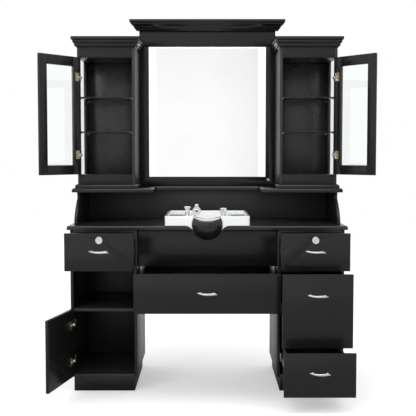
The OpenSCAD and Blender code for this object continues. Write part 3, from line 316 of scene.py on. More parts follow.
@dataclass(frozen=True)
class ClearGlass(Finish):
    """Polished glass with a faint green body, darker in the shelves as partly painted shade, which lets light
    straight through in shadow rays.
    """

    tint: Triple
    clearest: Triple
    ior: float = 1.5

    def shader(self, g: Shading) -> Sock:
        """Adds the shader."""
        haze = g.noise(11.0, 3.0)
        glass = g.surface({
            "Base Color": g.mix(haze, self.tint, self.clearest),
            "Roughness": (haze - 0.3).most(0.0) * 0.02,
            "IOR": self.ior,
            "Transmission Weight": 1.0})
        clear = g.node("ShaderNodeBsdfTransparent", {"Color": rgba(0.94)})
        return g.either(g.ray("Shadow"), glass, clear)


@dataclass(frozen=True)
class Silvering(Finish):
    """Silvered mirror glass with a trace of dust."""

    def shader(self, g: Shading) -> Sock:
        """Adds the shader."""
        dust = g.ramp(g.noise(5.0, 4.0), 0.45, 0.8)
        return g.surface({
            "Base Color": g.mix(dust, (0.975, 0.982, 0.978), (0.95, 0.955, 0.955)),
            "Metallic": 1.0,
            "Roughness": 0.012 + dust * 0.03})


@dataclass(frozen=True)
class Diffuser(Finish):
    """White light diffuser, lit from behind and a little weaker at its ends."""

    z_mid: float
    z_half: float
    strength: float = 0.55

    def shader(self, g: Shading) -> Sock:
        """Adds the shader."""
        share = (g.part(g.place, "Z") - self.z_mid) / self.z_half
        falloff = g.ramp(share.unsigned(), 0.8, 1.05)
        frost = g.noise(420.0)
        return g.surface({
            "Base Color": g.mix(frost, 0.90, 0.94),
            "Roughness": 0.45 + (frost - 0.5) * 0.1,
            "Emission Color": g.mix(falloff, (1.0, 1.0, 0.99), (0.86, 0.86, 0.85)),
            "Emission Strength": self.strength})


@dataclass(frozen=True)
class Enamel(Finish):
    """Glossy coloured enamel for a tap's index dot."""

    colour: Triple

    def shader(self, g: Shading) -> Sock:
        """Adds the shader."""
        cloud = g.noise(300.0)
        return g.surface({
            "Base Color": g.mix(cloud, tuple(0.8 * c for c in self.colour), self.colour),
            "Roughness": 0.2 + cloud * 0.05})


@dataclass(frozen=True)
class PaleFloor(Finish):
    """Seamless pale floor that keeps shadows: lifted towards white for the camera, dimmer for gloss."""

    lift: float = 0.34
    mirrored: float = 0.42

    def shader(self, g: Shading) -> Sock:
        """Adds the shader."""
        tone = g.mix(g.ray("Glossy"), g.mix(g.noise(0.7), 0.80, 0.82), self.mirrored)
        paint = g.surface({"Base Color": tone, "Roughness": 0.9, "Specular IOR Level": 0.0})
        glow = g.node("ShaderNodeEmission", {"Color": rgba(1.0), "Strength": self.lift})
        both = g.node("ShaderNodeAddShader", {0: paint, 1: glow})
        return g.either((g.ray("Camera") + g.ray("Transmission")).least(1.0), paint, both)


BLACK = Laminate("black_laminate")
# BACK, HUTCH, COUNTER, KNEE, HOLLOW, SIDE and JAMB are lighter copies of the one black laminate: painted
# light where these boards catch more light and reflection
BACK = Laminate("tower_back_painted_light_laminate", dark=0.026, light=0.030, roughness=0.28, specular=0.52)
HUTCH = Laminate("hutch_back_painted_light_laminate", dark=0.024, light=0.029, roughness=0.45, specular=0.28)
COUNTER = Laminate("counter_painted_light_laminate", dark=0.014, light=0.018, roughness=0.22, specular=0.50)
KNEE = Laminate("kneehole_side_painted_light_laminate", dark=0.009, light=0.012, roughness=0.20, specular=0.42)
TRIM = Laminate("moulding_laminate", dark=0.0055, light=0.0075, roughness=0.19, specular=0.48,
                pebble_depth=0.000008)
HOLLOW = Laminate("shelf_painted_light_laminate", dark=0.022, light=0.027, roughness=0.40, specular=0.45)
SIDE = Laminate("tower_side_painted_light_laminate", dark=0.012, light=0.015, roughness=0.12, specular=0.60)
JAMB = Laminate("tower_jamb_painted_light_laminate", dark=0.016, light=0.020, roughness=0.45, specular=0.55)
INSIDE = Laminate("drawer_board", "drawer_board", dark=0.0056, light=0.0078, roughness=0.5, specular=0.3)
CHROME = Metal("chrome_plate", "chrome", (0.93, 0.94, 0.95), 0.10)
SATIN = Metal("satin_chrome", "chrome", (0.93, 0.93, 0.94), 0.20)
# A darker copy of the warm nickel for the cupboard door's hinge leaves: painted shade
SHADED_NICKEL = Metal("painted_shade_nickel", "nickel", (0.56, 0.49, 0.40), 0.34, MetalLook.PLATED)
NICKEL = Metal("warm_nickel", "nickel", (0.80, 0.71, 0.57), 0.26, MetalLook.PLATED)
ZINC = Metal("zinc_steel", "zinc_steel", (0.50, 0.51, 0.53), 0.32, MetalLook.ROLLED)
ALUMINIUM = Metal("plain_aluminium", "aluminium", (0.70, 0.70, 0.72), 0.35, MetalLook.ROLLED)
PORCELAIN = Glaze("white_glaze", "porcelain")
PAD = Rubber("black_rubber", "black_rubber")
GLASS = ClearGlass("clear_glass", "clear_glass", (0.965, 0.985, 0.98), (0.985, 0.995, 0.99))
WINDOW = ClearGlass("window_glass", "clear_glass", (0.995, 1.0, 1.0), (1.0, 1.0, 1.0), 1.03)
# The shelf glass's dark tint is partly the green of thick glass seen edge-on and partly painted shade over
# the light that it carries in from the windows
SHELF = ClearGlass("shelf_glass_partly_painted_shade", "clear_glass", (0.30, 0.33, 0.32), (0.38, 0.41, 0.40), 1.38)
MIRROR = Silvering("mirror_silver", "mirror_silver")
LIT = Diffuser("light_diffuser", "light_diffuser", 1.583, 0.397)
HOT_DOT = Enamel("hot_index", "chrome", (0.55, 0.02, 0.20))
FLOOR = PaleFloor("pale_floor", "")


# Meshes

def dress(obj: bpy.types.Object, finish: Finish) -> None:
    """Gives a piece or a CAD node its only material."""
    obj.data.materials.clear()
    obj.data.materials.append(paint_of(finish))


def smooth_by_angle(mesh: bpy.types.Mesh, degrees: float) -> None:
    """Smooth shading, with sharp edges over an angle."""
    mesh.shade_smooth()
    mesh.set_sharp_from_angle(angle=math.radians(degrees))


def linked(name: str, data: bpy.types.ID) -> bpy.types.Object:
    """A new object in the scene, for a mesh, a lamp or the camera."""
    obj = bpy.data.objects.new(name, data)
    bpy.context.scene.collection.objects.link(obj)
    return obj


def from_bmesh(bm: bmesh.types.BMesh, name: str) -> bpy.types.Object:
    """Writes a bmesh into a new object in the scene and frees it."""
    mesh = bpy.data.meshes.new(name)
    bm.to_mesh(mesh)
    bm.free()
    return linked(name, mesh)


def plain(obj: bpy.types.Object, name: str) -> bpy.types.Object:
    """Turns an object with live modifiers into a plain mesh object of another name.

    Args:
        obj: The object, which is removed with its mesh.
        name: The new object's name.

    Returns:
        The plain object.
    """
    bpy.context.view_layer.update()
    graph = bpy.context.evaluated_depsgraph_get()
    mesh = bpy.data.meshes.new_from_object(obj.evaluated_get(graph), depsgraph=graph)
    old = obj.data
    bpy.data.objects.remove(obj)
    bpy.data.meshes.remove(old)
    mesh.name = name
    return linked(name, mesh)


def eased(bm: bmesh.types.BMesh, name: str, width: float, segments: int = 2,
          degrees: float = 35.0) -> bpy.types.Object:
    """Makes an object whose sharp edges are rounded by a Bevel modifier.

    Args:
        bm: Its mesh, which is freed.
        name: Its name.
        width: Width of the rounding in millimetres.
        segments: Steps of the rounding.
        degrees: Edges over this angle are rounded.

    Returns:
        The object, with a plain mesh.
    """
    obj = from_bmesh(bm, name + "_raw")
    bevel = obj.modifiers.new("ease", "BEVEL")
    bevel.width, bevel.segments = width * MM, segments
    bevel.limit_method, bevel.angle_limit = "ANGLE", math.radians(degrees)
    made = plain(obj, name)
    smooth_by_angle(made.data, 40.0)
    return made


def fitted(obj: bpy.types.Object, body: str, finish: Finish, *stands_for: str) -> bpy.types.Object:
    """Paints a finished piece and rides it on its body.

    Args:
        obj: The piece.
        body: The body that it rides on.
        finish: Its finish.
        *stands_for: The CAD nodes that it replaces.

    Returns:
        The piece.
    """
    dress(obj, finish)
    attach(obj, body)
    if stands_for:
        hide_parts(*stands_for)
    LOG.info("%s: %d faces on %s", obj.name, len(obj.data.polygons), body)
    return obj


def copied(node: str) -> bmesh.types.BMesh:
    """A merged copy of a CAD node's mesh."""
    bm = bmesh.new()
    bm.from_mesh(frame["nodes"][node].data)
    bmesh.ops.remove_doubles(bm, verts=bm.verts, dist=MERGE)
    return bm


def eased_node(node: str, finish: Finish, width: float, segments: int = 2, name: str = "",
               lowest_x: float = -1.0) -> None:
    """Replaces a CAD node by the same solids with eased edges.

    Args:
        node: The CAD node.
        finish: Its finish.
        width: Width of the rounding in millimetres.
        segments: Steps of the rounding.
        name: The piece's name, or the node's with "_eased".
        lowest_x: Solids left of this, in metres, are made elsewhere.
    """
    bm = copied(node)
    bmesh.ops.delete(bm, geom=[v for v in bm.verts if v.co.x < lowest_x], context="VERTS")
    bmesh.ops.dissolve_limit(bm, angle_limit=math.radians(0.4), verts=bm.verts, edges=bm.edges)
    fitted(eased(bm, name or node + "_eased", width, segments), BODY_OF[node], finish, node)


class Solid:
    """Gathers closed shapes in millimetres into one mesh."""

    def __init__(self) -> None:
        """Starts empty."""
        self.bm = bmesh.new()

    def faces(self, points: Sequence[Sequence[float]], faces: Sequence[Sequence[int]]) -> "Solid":
        """Adds points and the faces between them."""
        verts = [self.bm.verts.new(Vector(p) * MM) for p in points]
        for face in faces:
            self.bm.faces.new([verts[i] for i in face])
        return self

    def lathe(self, centre: Sequence[float], outline: Sequence[Pair], steps: int = 48,
              turn: Matrix = Matrix.Identity(3)) -> "Solid":
        """Adds a solid turned about an axis, +Z unless turned.

        Args:
            centre: Where the axis starts.
            outline: Radius and height pairs that start and end on the axis, or end where they start.
            steps: Facets round the axis.
            turn: Rotation of the axis.

        Returns:
            This solid.
        """
        rings = []
        for radius, height in outline:
            angles = [2 * math.pi * k / steps for k in range(steps if radius > 0.0 else 1)]
            rings.append([self.bm.verts.new((Vector(centre) + turn @ Vector((
                radius * math.cos(a), radius * math.sin(a), height))) * MM) for a in angles])
        for low, high in zip(rings, rings[1:]):
            for k in range(steps):
                corners = dict.fromkeys((low[k % len(low)], low[(k + 1) % len(low)],
                                         high[(k + 1) % len(high)], high[k % len(high)]))
                if len(corners) > 2:
                    self.bm.faces.new(list(corners))
        return self

    def rows(self, rows: Sequence[Sequence[Sequence[float]]], ends: bool = True) -> "Solid":
        """Adds a skin between closed rows of points.

        Args:
            rows: Rows of equal length, from one end to the other.
            ends: Whether the first and the last row are capped.

        Returns:
            This solid.
        """
        count = len(rows[0])
        last = (len(rows) - 1) * count
        faces = [(i + k, i + (k + 1) % count, i + (k + 1) % count + count, i + k + count)
                 for i in range(0, last, count) for k in range(count)]
        if ends:
            faces += [tuple(range(count))[::-1], tuple(range(last, last + count))]
        return self.faces([p for row in rows for p in row], faces)

    def tidy(self) -> "Solid":
        """Merges doubled points and turns every face outwards."""
        bmesh.ops.remove_doubles(self.bm, verts=self.bm.verts, dist=1e-6)
        bmesh.ops.dissolve_degenerate(self.bm, edges=self.bm.edges, dist=1e-6)
        bmesh.ops.recalc_face_normals(self.bm, faces=self.bm.faces)
        return self

    def object(self, name: str, degrees: float = 40.0) -> bpy.types.Object:
        """Writes the mesh into a new object, smooth but for edges over an angle."""
        obj = from_bmesh(self.bm, name)
        smooth_by_angle(obj.data, degrees)
        return obj


# Geometry Nodes

class GeoTree(Graph):
    """A Geometry Nodes tree with named inputs, from its seats to a painted mesh."""

    def __init__(self, name: str, finish: Finish) -> None:
        """Creates the tree with its geometry in and out.

        Args:
            name: Name of the tree.
            finish: Finish of what it grows.
        """
        super().__init__(bpy.data.node_groups.new(name, "GeometryNodeTree"))
        self.finish = finish
        for way in ("INPUT", "OUTPUT"):
            self.tree.interface.new_socket("Geometry", in_out=way, socket_type="NodeSocketGeometry")
        self.entry = self.tree.nodes.new("NodeGroupInput")
        self.seats = Sock(self, self.entry.outputs[0])

    def size(self, name: str, default: float = 0.01) -> Sock:
        """A named input: a length in metres or a plain number, whole where its default is."""
        kind = "NodeSocketInt" if isinstance(default, int) else "NodeSocketFloat"
        item = self.tree.interface.new_socket(name, in_out="INPUT", socket_type=kind)
        item.default_value = default
        return Sock(self, next(s for s in self.entry.outputs if s.identifier == item.identifier))

    def instances(self, points: Sock, instance: Sock, **sockets: Sock) -> None:
        """Sets an instance on each point and finishes the tree."""
        self.finished(self.node("GeometryNodeInstanceOnPoints", {0: points, "Instance": instance, **sockets}))

    def finished(self, shape: Sock) -> None:
        """Ends the tree in Realize Instances and Set Material."""
        real = self.node("GeometryNodeRealizeInstances", {0: shape})
        soft = self.node("GeometryNodeSetShadeSmooth", {0: real})
        painted = self.node("GeometryNodeSetMaterial", {0: soft, "Material": paint_of(self.finish)})
        self.tree.links.new(painted.socket, self.tree.nodes.new("NodeGroupOutput").inputs[0])

    def grow(self, name: str, sizes: Mapping[str, float], seats: Seats = AT_ORIGIN) -> bpy.types.Object:
        """Runs the tree on its seats.

        Args:
            name: The new object's name.
            sizes: Values of the named inputs.
            seats: Points in millimetres, each with the direction that its instance faces.

        Returns:
            The new object with a plain mesh, at the origin.
        """
        mesh = bpy.data.meshes.new(name + "_seats")
        mesh.from_pydata([tuple(p * MM) for p, _ in seats], [], [])
        facing = mesh.attributes.new("facing", "FLOAT_VECTOR", "POINT")
        for item, (_, direction) in zip(facing.data, seats):
            item.vector = direction
        obj = linked(name + "_seats", mesh)
        modifier = obj.modifiers.new("grow", "NODES")
        modifier.node_group = self.tree
        for item in self.tree.interface.items_tree:
            if item.name in sizes:
                modifier[item.identifier] = sizes[item.name]
        made = plain(obj, name)
        smooth_by_angle(made.data, 35.0)
        return made

    def fit(self, name: str, body: str, sizes: Mapping[str, float], seats: Seats = AT_ORIGIN,
            at: Triple = (0.0, 0.0, 0.0)) -> None:
        """Grows a piece and rides it on a body.

        Args:
            name: Name of the piece.
            body: The body that it rides on.
            sizes: Values of the named inputs: lengths in millimetres, or whole numbers.
            seats: Points in millimetres, each with the direction that its instance faces.
            at: How far the piece is moved, in millimetres.
        """
        inputs = {key: size if isinstance(size, int) else size * MM for key, size in sizes.items()}
        obj = self.grow(name, inputs, seats)
        obj.data.transform(Matrix.Translation(Vector(at) * MM))
        fitted(obj, body, self.finish)


def upright(points: Sequence[Vector]) -> Seats:
    """Seats at the points, all facing up."""
    return [(point, UP) for point in points]


class Screws(GeoTree):
    """Countersunk screw heads with a cross recess, one at each seat."""

    def __init__(self, finish: Finish) -> None:
        """Builds the tree once for a finish."""
        super().__init__("screw_heads_" + finish.name, finish)
        radius, height = self.size("Head Radius"), self.size("Head Height")
        head = self.node("GeometryNodeMeshUVSphere", {"Segments": 20, "Rings": 10, "Radius": radius})
        flat = self.node("GeometryNodeTransform", {0: head, "Scale": self.vector(1.0, 1.0, height / radius)})
        bars = [self.node("GeometryNodeMeshCube", {"Size": self.vector(radius * x, radius * y, height * 1.4)})
                for x, y in ((1.1, 0.22), (0.22, 1.1))]
        cutters = [self.node("GeometryNodeTransform", {0: bar, "Translation": self.vector(z=height)})
                   for bar in bars]
        cut = self.node("GeometryNodeMeshBoolean", {0: flat, 1: cutters}, operation="DIFFERENCE",
                        solver="FLOAT")
        facing = self.node("GeometryNodeInputNamedAttribute", {"Name": "facing"}, data_type="FLOAT_VECTOR")
        turn = self.node("FunctionNodeAlignRotationToVector", {"Vector": facing}, axis="Z")
        self.instances(self.seats, cut, Rotation=turn)

    @staticmethod
    def head(radius: float) -> dict[str, float]:
        """Sizes of a head of a radius in millimetres."""
        return {"Head Radius": radius, "Head Height": radius * 0.34}


class Beads(GeoTree):
    """Small beads, one at each seat, for dimples, nozzles and slide balls."""

    def __init__(self, finish: Finish) -> None:
        """Builds the tree once for a finish."""
        super().__init__("beads_" + finish.name, finish)
        radius = self.size("Bead Radius")
        self.instances(self.seats, self.node("GeometryNodeMeshIcoSphere", {
            "Radius": radius, "Subdivisions": 2}))


class Flutes(GeoTree):
    """Upright rounded ribs in a ring, for a knob's grip or a slip nut."""

    def __init__(self, finish: Finish) -> None:
        """Builds the tree once for a finish."""
        super().__init__("flutes_" + finish.name, finish)
        circle = self.node("GeometryNodeCurvePrimitiveCircle", {
            "Resolution": self.size("Ribs", 12), "Radius": self.size("Ring Radius")})
        rib = self.node("GeometryNodeMeshCylinder", {
            "Vertices": 10, "Radius": self.size("Rib Radius"), "Depth": self.size("Rib Length")})
        self.instances(circle, rib)


# Shares of the pull's rise: up at the knee, and down from there to the point
KNEE_UP = 0.2
POINT_DOWN = 0.58
# Where the bar begins to swell towards the knee
WAIST = 0.45


class PullBar(GeoTree):
    """The bowed bar of a pull: thin at its raised left tip, fullest at the knee, then down to a point."""

    def __init__(self) -> None:
        """Builds the tree, whose path and thickness follow the bar's own rule."""
        super().__init__("pull_bar", CHROME)
        length, reach, rise, height, thick, foot, knee = (self.size(name) for name in (
            "Length", "Reach", "Rise", "Bar Height", "Bar Thickness", "Foot", "Knee"))
        line = self.node("GeometryNodeCurvePrimitiveLine", {"End": (1.0, 0.0, 0.0)})
        path = self.node("GeometryNodeResampleCurve", {"Curve": line, "Count": 72})
        t = self.node("GeometryNodeSplineParameter", out="Factor")
        climb = ((t - 0.5).most(0.0) / (knee - 0.5)).least(1.0) ** 2.0 * KNEE_UP
        fall = (t - knee).most(0.0) / (1.0 - knee) * POINT_DOWN
        up = rise * (t.less(0.5) * ((1.0 - t * 2.0) ** 2.0) + climb - fall)
        out = foot + (reach - foot - thick * 0.5) * (t * math.pi).sine()
        place = self.vector(length * (t - 0.5), 0.0 - out, up)
        bent = self.node("GeometryNodeSetPosition", {0: path, "Position": place})
        rising = 0.3 + 0.7 * (t * math.radians(200.0)).sine()
        growing = 1.0 + 0.2 * (t - WAIST) / (knee - WAIST)
        falling = 0.15 + 1.05 * (1.0 - t) / (1.0 - knee)
        early = t.less(WAIST)
        swell = early * rising + (1.0 - early) * growing.least(falling)
        tip = (t * 45.0).least((1.0 - t) * 60.0).least(1.0).most(0.02) ** 0.5
        level = self.node("GeometryNodeSetCurveNormal", {0: bent})
        ring = self.node("GeometryNodeCurvePrimitiveCircle", {"Resolution": 20, "Radius": 1.0})
        oval = self.node("GeometryNodeTransform", {0: ring, "Scale": self.vector(thick / height, 1.0, 1.0)})
        self.finished(self.node("GeometryNodeCurveToMesh", {
            "Curve": level, "Profile Curve": oval, "Scale": height * 0.5 * swell * tip, "Fill Caps": True}))


@dataclass(frozen=True)
class Pull:
    """A bow pull with its posts, in millimetres."""

    pitch: float = 76.0
    length: float = 109.0
    reach: float = 26.0
    rise: float = 7.0
    bar_height: float = 11.0
    bar_thickness: float = 6.0
    foot: float = 9.0
    knee: float = 0.83
    post_r: float = 3.5

    def post(self, side: int) -> Triple:
        """Where the bar is over a post: across, out and up."""
        t = 0.5 + side * self.pitch / 2 / self.length
        out = self.foot + (self.reach - self.foot - self.bar_thickness / 2) * math.sin(math.pi * t)
        knee_rise = KNEE_UP - POINT_DOWN * max(t - self.knee, 0.0) / (1.0 - self.knee)
        up = self.rise * ((1 - 2 * t) ** 2 if t < 0.5 else knee_rise)
        return side * self.pitch / 2, out, up

    def build(self, bar: PullBar, name: str, body: str, place: Matrix, stands_for: str) -> None:
        """Builds the bar, and the posts with their small base plates.

        Args:
            bar: The bar's tree.
            name: Name of the piece.
            body: The body that it rides on.
            place: Matrix in metres from the pull's own face to its door or drawer.
            stands_for: The CAD node that it helps to replace.
        """
        made = bar.grow(name + "_bar", {
            "Length": self.length * MM, "Reach": self.reach * MM, "Rise": self.rise * MM,
            "Bar Height": self.bar_height * MM, "Bar Thickness": self.bar_thickness * MM,
            "Foot": self.foot * MM, "Knee": self.knee})
        solid, r = Solid(), self.post_r
        for side in (-1, 1):
            x, out, up = self.post(side)
            solid.lathe((x, 0, up), [
                (0, 0), (r + 2.2, 0), (r + 2.2, 1), (r + 0.6, 2.2), (r, 4), (r, out - 1), (r * 0.6, out),
                (0, out)], 28, ALONG_Y)
        solid.bm.from_mesh(made.data)
        bpy.data.objects.remove(made)
        bmesh.ops.transform(solid.bm, matrix=place, verts=solid.bm.verts)
        if place.to_3x3().determinant() < 0:
            bmesh.ops.reverse_faces(solid.bm, faces=solid.bm.faces)
        fitted(solid.object(name), body, CHROME, stands_for)


class Hardware:
    """The shared trees of the metal fittings."""

    def __init__(self) -> None:
        """Builds each tree once."""
        self.screws = Screws(NICKEL)
        self.balls, self.beads, self.nozzles = Beads(ZINC), Beads(CHROME), Beads(PAD)
        self.flutes = Flutes(CHROME)
        self.bar = PullBar()


# Mouldings

QUARTER_TURN = [math.pi / 2 * i / 14 for i in range(15)]


def cove(p0: float, p1: float, z0: float, z1: float) -> list[Pair]:
    """A hollow quarter curve from (p0, z0) up and out to (p1, z1)."""
    return [(p0 + (p1 - p0) * (1 - math.cos(a)), z0 + (z1 - z0) * math.sin(a)) for a in QUARTER_TURN]


def bead(p0: float, p1: float, z0: float, z1: float, bulge: float) -> list[Pair]:
    """A band from (p0, z0) to (p1, z1) that swells by bulge at its middle."""
    return [(p0 + (p1 - p0) * t + bulge * math.sin(math.pi * t), z0 + (z1 - z0) * t)
            for t in (i / 8 for i in range(9))]


def centre_profile(h: float, out: float) -> list[Pair]:
    """Soffit, slopes, steps and a plain band, as projection and height pairs from the foot up."""
    return ([(0.0, 0.0), (0.28 * out, 0.0), (0.56 * out, 0.31 * h), (0.56 * out, 0.39 * h),
             (0.82 * out, 0.56 * h), (0.86 * out, 0.58 * h), (0.86 * out, 0.65 * h)]
            + cove(0.88 * out, 0.98 * out, 0.66 * h, 0.75 * h) + [(out, 0.77 * h), (out, h)])


def tower_profile(h: float, out: float) -> list[Pair]:
    """Two swelling beads under a plain band, as projection and height pairs from the foot up."""
    return ([(0.0, 0.0), (0.1 * out, 0.0)] + cove(0.12 * out, 0.42 * out, 0.03 * h, 0.15 * h)
            + bead(0.42 * out, 0.44 * out, 0.16 * h, 0.34 * h, 0.02 * out)
            + [(0.64 * out, 0.43 * h)] + bead(0.70 * out, 0.72 * out, 0.48 * h, 0.67 * h, 0.03 * out)
            + [(0.8 * out, 0.69 * h), (out, 0.74 * h), (out, h)])


def board_edge(h: float, out: float, inner: float = 0.0) -> list[Pair]:
    """An upright band that rounds in above, as projection and height pairs from the foot up."""
    return [(out, 0.0)] + [
        (inner + (out - inner) * math.cos(a), h * (0.4 + 0.6 * math.sin(a))) for a in QUARTER_TURN]


@dataclass
class Moulding:
    """A moulded board or crown whose edge profile runs round an outline with mitred corners."""

    node: str
    foot: float
    profile: list[Pair]
    outline: Callable[[float], list[Pair]]
    paired: bool = False
    well: Optional[tuple[Pair, Pair]] = None

    def build(self) -> None:
        """Builds the moulding, or the right one of a pair and its mirror image."""
        rows = [[(x, y, self.foot + z) for x, y in self.outline(p)] for p, z in self.profile]
        part = Solid().rows(rows, ends=self.well is None)
        if self.well:
            (x0, x1), (y0, y1) = self.well
            walls = [[(x, y, row[0][2]) for x, y in ((x0, y1), (x0, y0), (x1, y0), (x1, y1))]
                     for row in (rows[0], rows[-1])]
            for loops in zip((rows[0], rows[-1]), walls):
                self._ring(part, loops)
            part.rows(walls, ends=False)
        part.tidy()
        if self.paired:
            mesh = bpy.data.meshes.new("left")
            part.bm.to_mesh(mesh)
            mesh.transform(MIRRORED)
            mesh.flip_normals()
            part.bm.from_mesh(mesh)
            bpy.data.meshes.remove(mesh)
        run = eased(part.bm, self.node + "_run", width=0.6, degrees=50.0)
        fitted(run, BODY_OF[self.node], TRIM, self.node)

    @staticmethod
    def _ring(part: Solid, loops: Sequence[Sequence[Triple]]) -> None:
        """Fills the flat space between an outline and the well.

        Args:
            part: The solid that the faces are added to.
            loops: The outline and the well's edge, at one height.
        """
        edges = []
        for loop in loops:
            verts = [part.bm.verts.new(Vector(p) * MM) for p in loop]
            edges += [part.bm.edges.new((a, b)) for a, b in zip(verts, verts[1:] + verts[:1])
                      if (a.co - b.co).length > 1e-7]
        bmesh.ops.triangle_fill(part.bm, use_beauty=True, edges=edges)


@dataclass
class Hutch:
    """Moulded boards and crowns over the counter, in millimetres."""

    bay_x: float = 416.5
    tower_x: float = 746.5
    tower_y: float = 151.0
    back_y: float = 523.0
    panel_y: float = 504.0
    wing_x: float = 341.5
    strip_y: float = 507.0
    board_z: float = 1105.0
    step_z: float = 1129.0
    crown_z: float = 1933.0
    centre_z: float = 2077.0

    def board_outline(self, p: float) -> list[Pair]:
        """Outline of the hutch board: deep wings under the towers and a strip between them."""
        right = [(self.wing_x - p, self.strip_y - p), (self.wing_x - p, self.tower_y - p),
                 (self.tower_x + p, self.tower_y - p), (self.tower_x + p, self.back_y)]
        return [(-x, y) for x, y in right[::-1]] + right

    def tower_outline(self, p: float) -> list[Pair]:
        """Outline of a tower's moulding, cut square where it meets the mirror panel."""
        stop = self.panel_y - 0.1
        return [(self.bay_x, self.back_y), (self.bay_x, stop), (self.bay_x - p, stop),
                (self.bay_x - p, self.tower_y - p), (self.tower_x + p, self.tower_y - p),
                (self.tower_x + p, self.back_y)]

    def centre_outline(self, p: float) -> list[Pair]:
        """Outline of the crown over the mirror."""
        x = self.bay_x + p
        return [(-x, self.back_y), (-x, self.panel_y - p), (x, self.panel_y - p), (x, self.back_y)]

    def build(self) -> None:
        """Builds the hutch board, the steps under the towers and the three crowns."""
        for moulding in (
                Moulding("hutch_board", self.board_z, board_edge(24.0, out=32.0, inner=20.0),
                         self.board_outline),
                Moulding("hutch_moulding", self.step_z, board_edge(23.0, out=15.0), self.tower_outline,
                         paired=True),
                Moulding("tower_crowns", self.crown_z, tower_profile(61.0, out=31.0), self.tower_outline,
                         paired=True, well=((432.5, 730.5), (167.0, 505.0))),
                Moulding("centre_crown", self.centre_z, centre_profile(64.0, out=56.0), self.centre_outline)):
            moulding.build()


# Boards

@dataclass
class Boards:
    """Every flat board of the cabinet: finish, width and steps of its eased edges, and its nodes."""

    sets: tuple[tuple[Finish, float, int, str], ...] = (
        (BLACK, 0.9, 2, "plinths pedestal_outer_sides kneehole_rails hutch_brackets tower_rails mirror_panel "
                        "centre_frieze left_glass_door_frame right_glass_door_frame lower_door "
                        "left_top_drawer_front right_top_drawer_front middle_drawer_front "
                        "bottom_drawer_front centre_drawer_front"),
        # SIDE, JAMB, BACK, HUTCH, KNEE, HOLLOW and COUNTER are lighter copies of the black laminate: painted
        # light
        (SIDE, 2.4, 4, "tower_outer_sides"),
        (JAMB, 2.4, 4, "tower_inner_sides"),
        (BACK, 0.9, 2, "tower_backs"),
        (HUTCH, 0.9, 2, "hutch_back"),
        (KNEE, 0.9, 2, "pedestal_inner_sides"),
        (INSIDE, 0.5, 2, "left_top_drawer_box right_top_drawer_box middle_drawer_box bottom_drawer_box "
                         "centre_drawer_box"),
        (HOLLOW, 0.9, 2, "pedestal_boards left_shelves"),
        (COUNTER, 1.2, 2, "counter"))

    def build(self) -> None:
        """Replaces each board node by its eased copy."""
        for finish, edge, steps, nodes in self.sets:
            for node in nodes.split():
                eased_node(node, finish, edge, steps)


# Wash bowl

def relaxed(obj: bpy.types.Object, rounds: int, shrink: float = 0.5, swell: float = -0.52) -> None:
    """Softens a dense mesh without letting it shrink, by moving points in and out in turn.

    Args:
        obj: The object.
        rounds: How many times both moves are made.
        shrink: Share of the way to the neighbours' middle in the first move.
        swell: The same for the second, outward one.
    """
    mesh = obj.data
    count = len(mesh.vertices)
    co = np.empty(count * 3)
    mesh.vertices.foreach_get("co", co)
    co = co.reshape(-1, 3)
    ends = np.empty(len(mesh.edges) * 2, np.int64)
    mesh.edges.foreach_get("vertices", ends)
    a, b = ends.reshape(-1, 2).T
    links = (np.bincount(a, minlength=count) + np.bincount(b, minlength=count))[:, None]
    for step in [shrink, swell] * rounds:
        total = np.stack([np.bincount(a, co[b, k], count) + np.bincount(b, co[a, k], count)
                          for k in range(3)], 1)
        co += step * (total / np.maximum(links, 1) - co)
    mesh.vertices.foreach_set("co", co.reshape(-1))
    mesh.update()


def softened(node: str, name: str, finish: Finish, voxel: float, rounds: int) -> bpy.types.Object:
    """Replaces a CAD solid by an evenly remeshed, relaxed copy, as glaze or moulded rubber softens an edge.

    Args:
        node: The CAD node.
        name: The piece's name.
        finish: Its finish.
        voxel: Size of the even mesh in millimetres.
        rounds: Rounds of relaxing.

    Returns:
        The piece.
    """
    obj = from_bmesh(copied(node), name + "_raw")
    remesh = obj.modifiers.new("even", "REMESH")
    remesh.mode = "VOXEL"
    remesh.voxel_size = voxel * MM
    made = plain(obj, name)
    relaxed(made, rounds)
    made.data.shade_smooth()
    return fitted(made, BODY_OF[node], finish, node)


@dataclass
class WashBowl:
    """The bowl with its neck rest and waste, in millimetres."""

    bowl_voxel: float = 3.2
    bowl_rounds: int = 5
    rest_voxel: float = 3.0
    rest_rounds: int = 7
    trap_nut: Triple = (0.0, 227.5, 777.3)

    def build(self, hardware: Hardware) -> None:
        """Builds the porcelain, the pad and the metal under them."""
        softened("bowl", "wash_bowl", PORCELAIN, self.bowl_voxel, self.bowl_rounds)
        rest = softened("neck_rest", "neck_pad", PAD, self.rest_voxel, self.rest_rounds)
        dress(frame["nodes"]["bowl_waste"], CHROME)
        hardware.flutes.fit("trap_nut_ribs", "cabinet", {
            "Ribs": 18, "Ring Radius": 22.0, "Rib Radius": 2.4, "Rib Length": 16.0}, at=self.trap_nut)


# Taps and spray

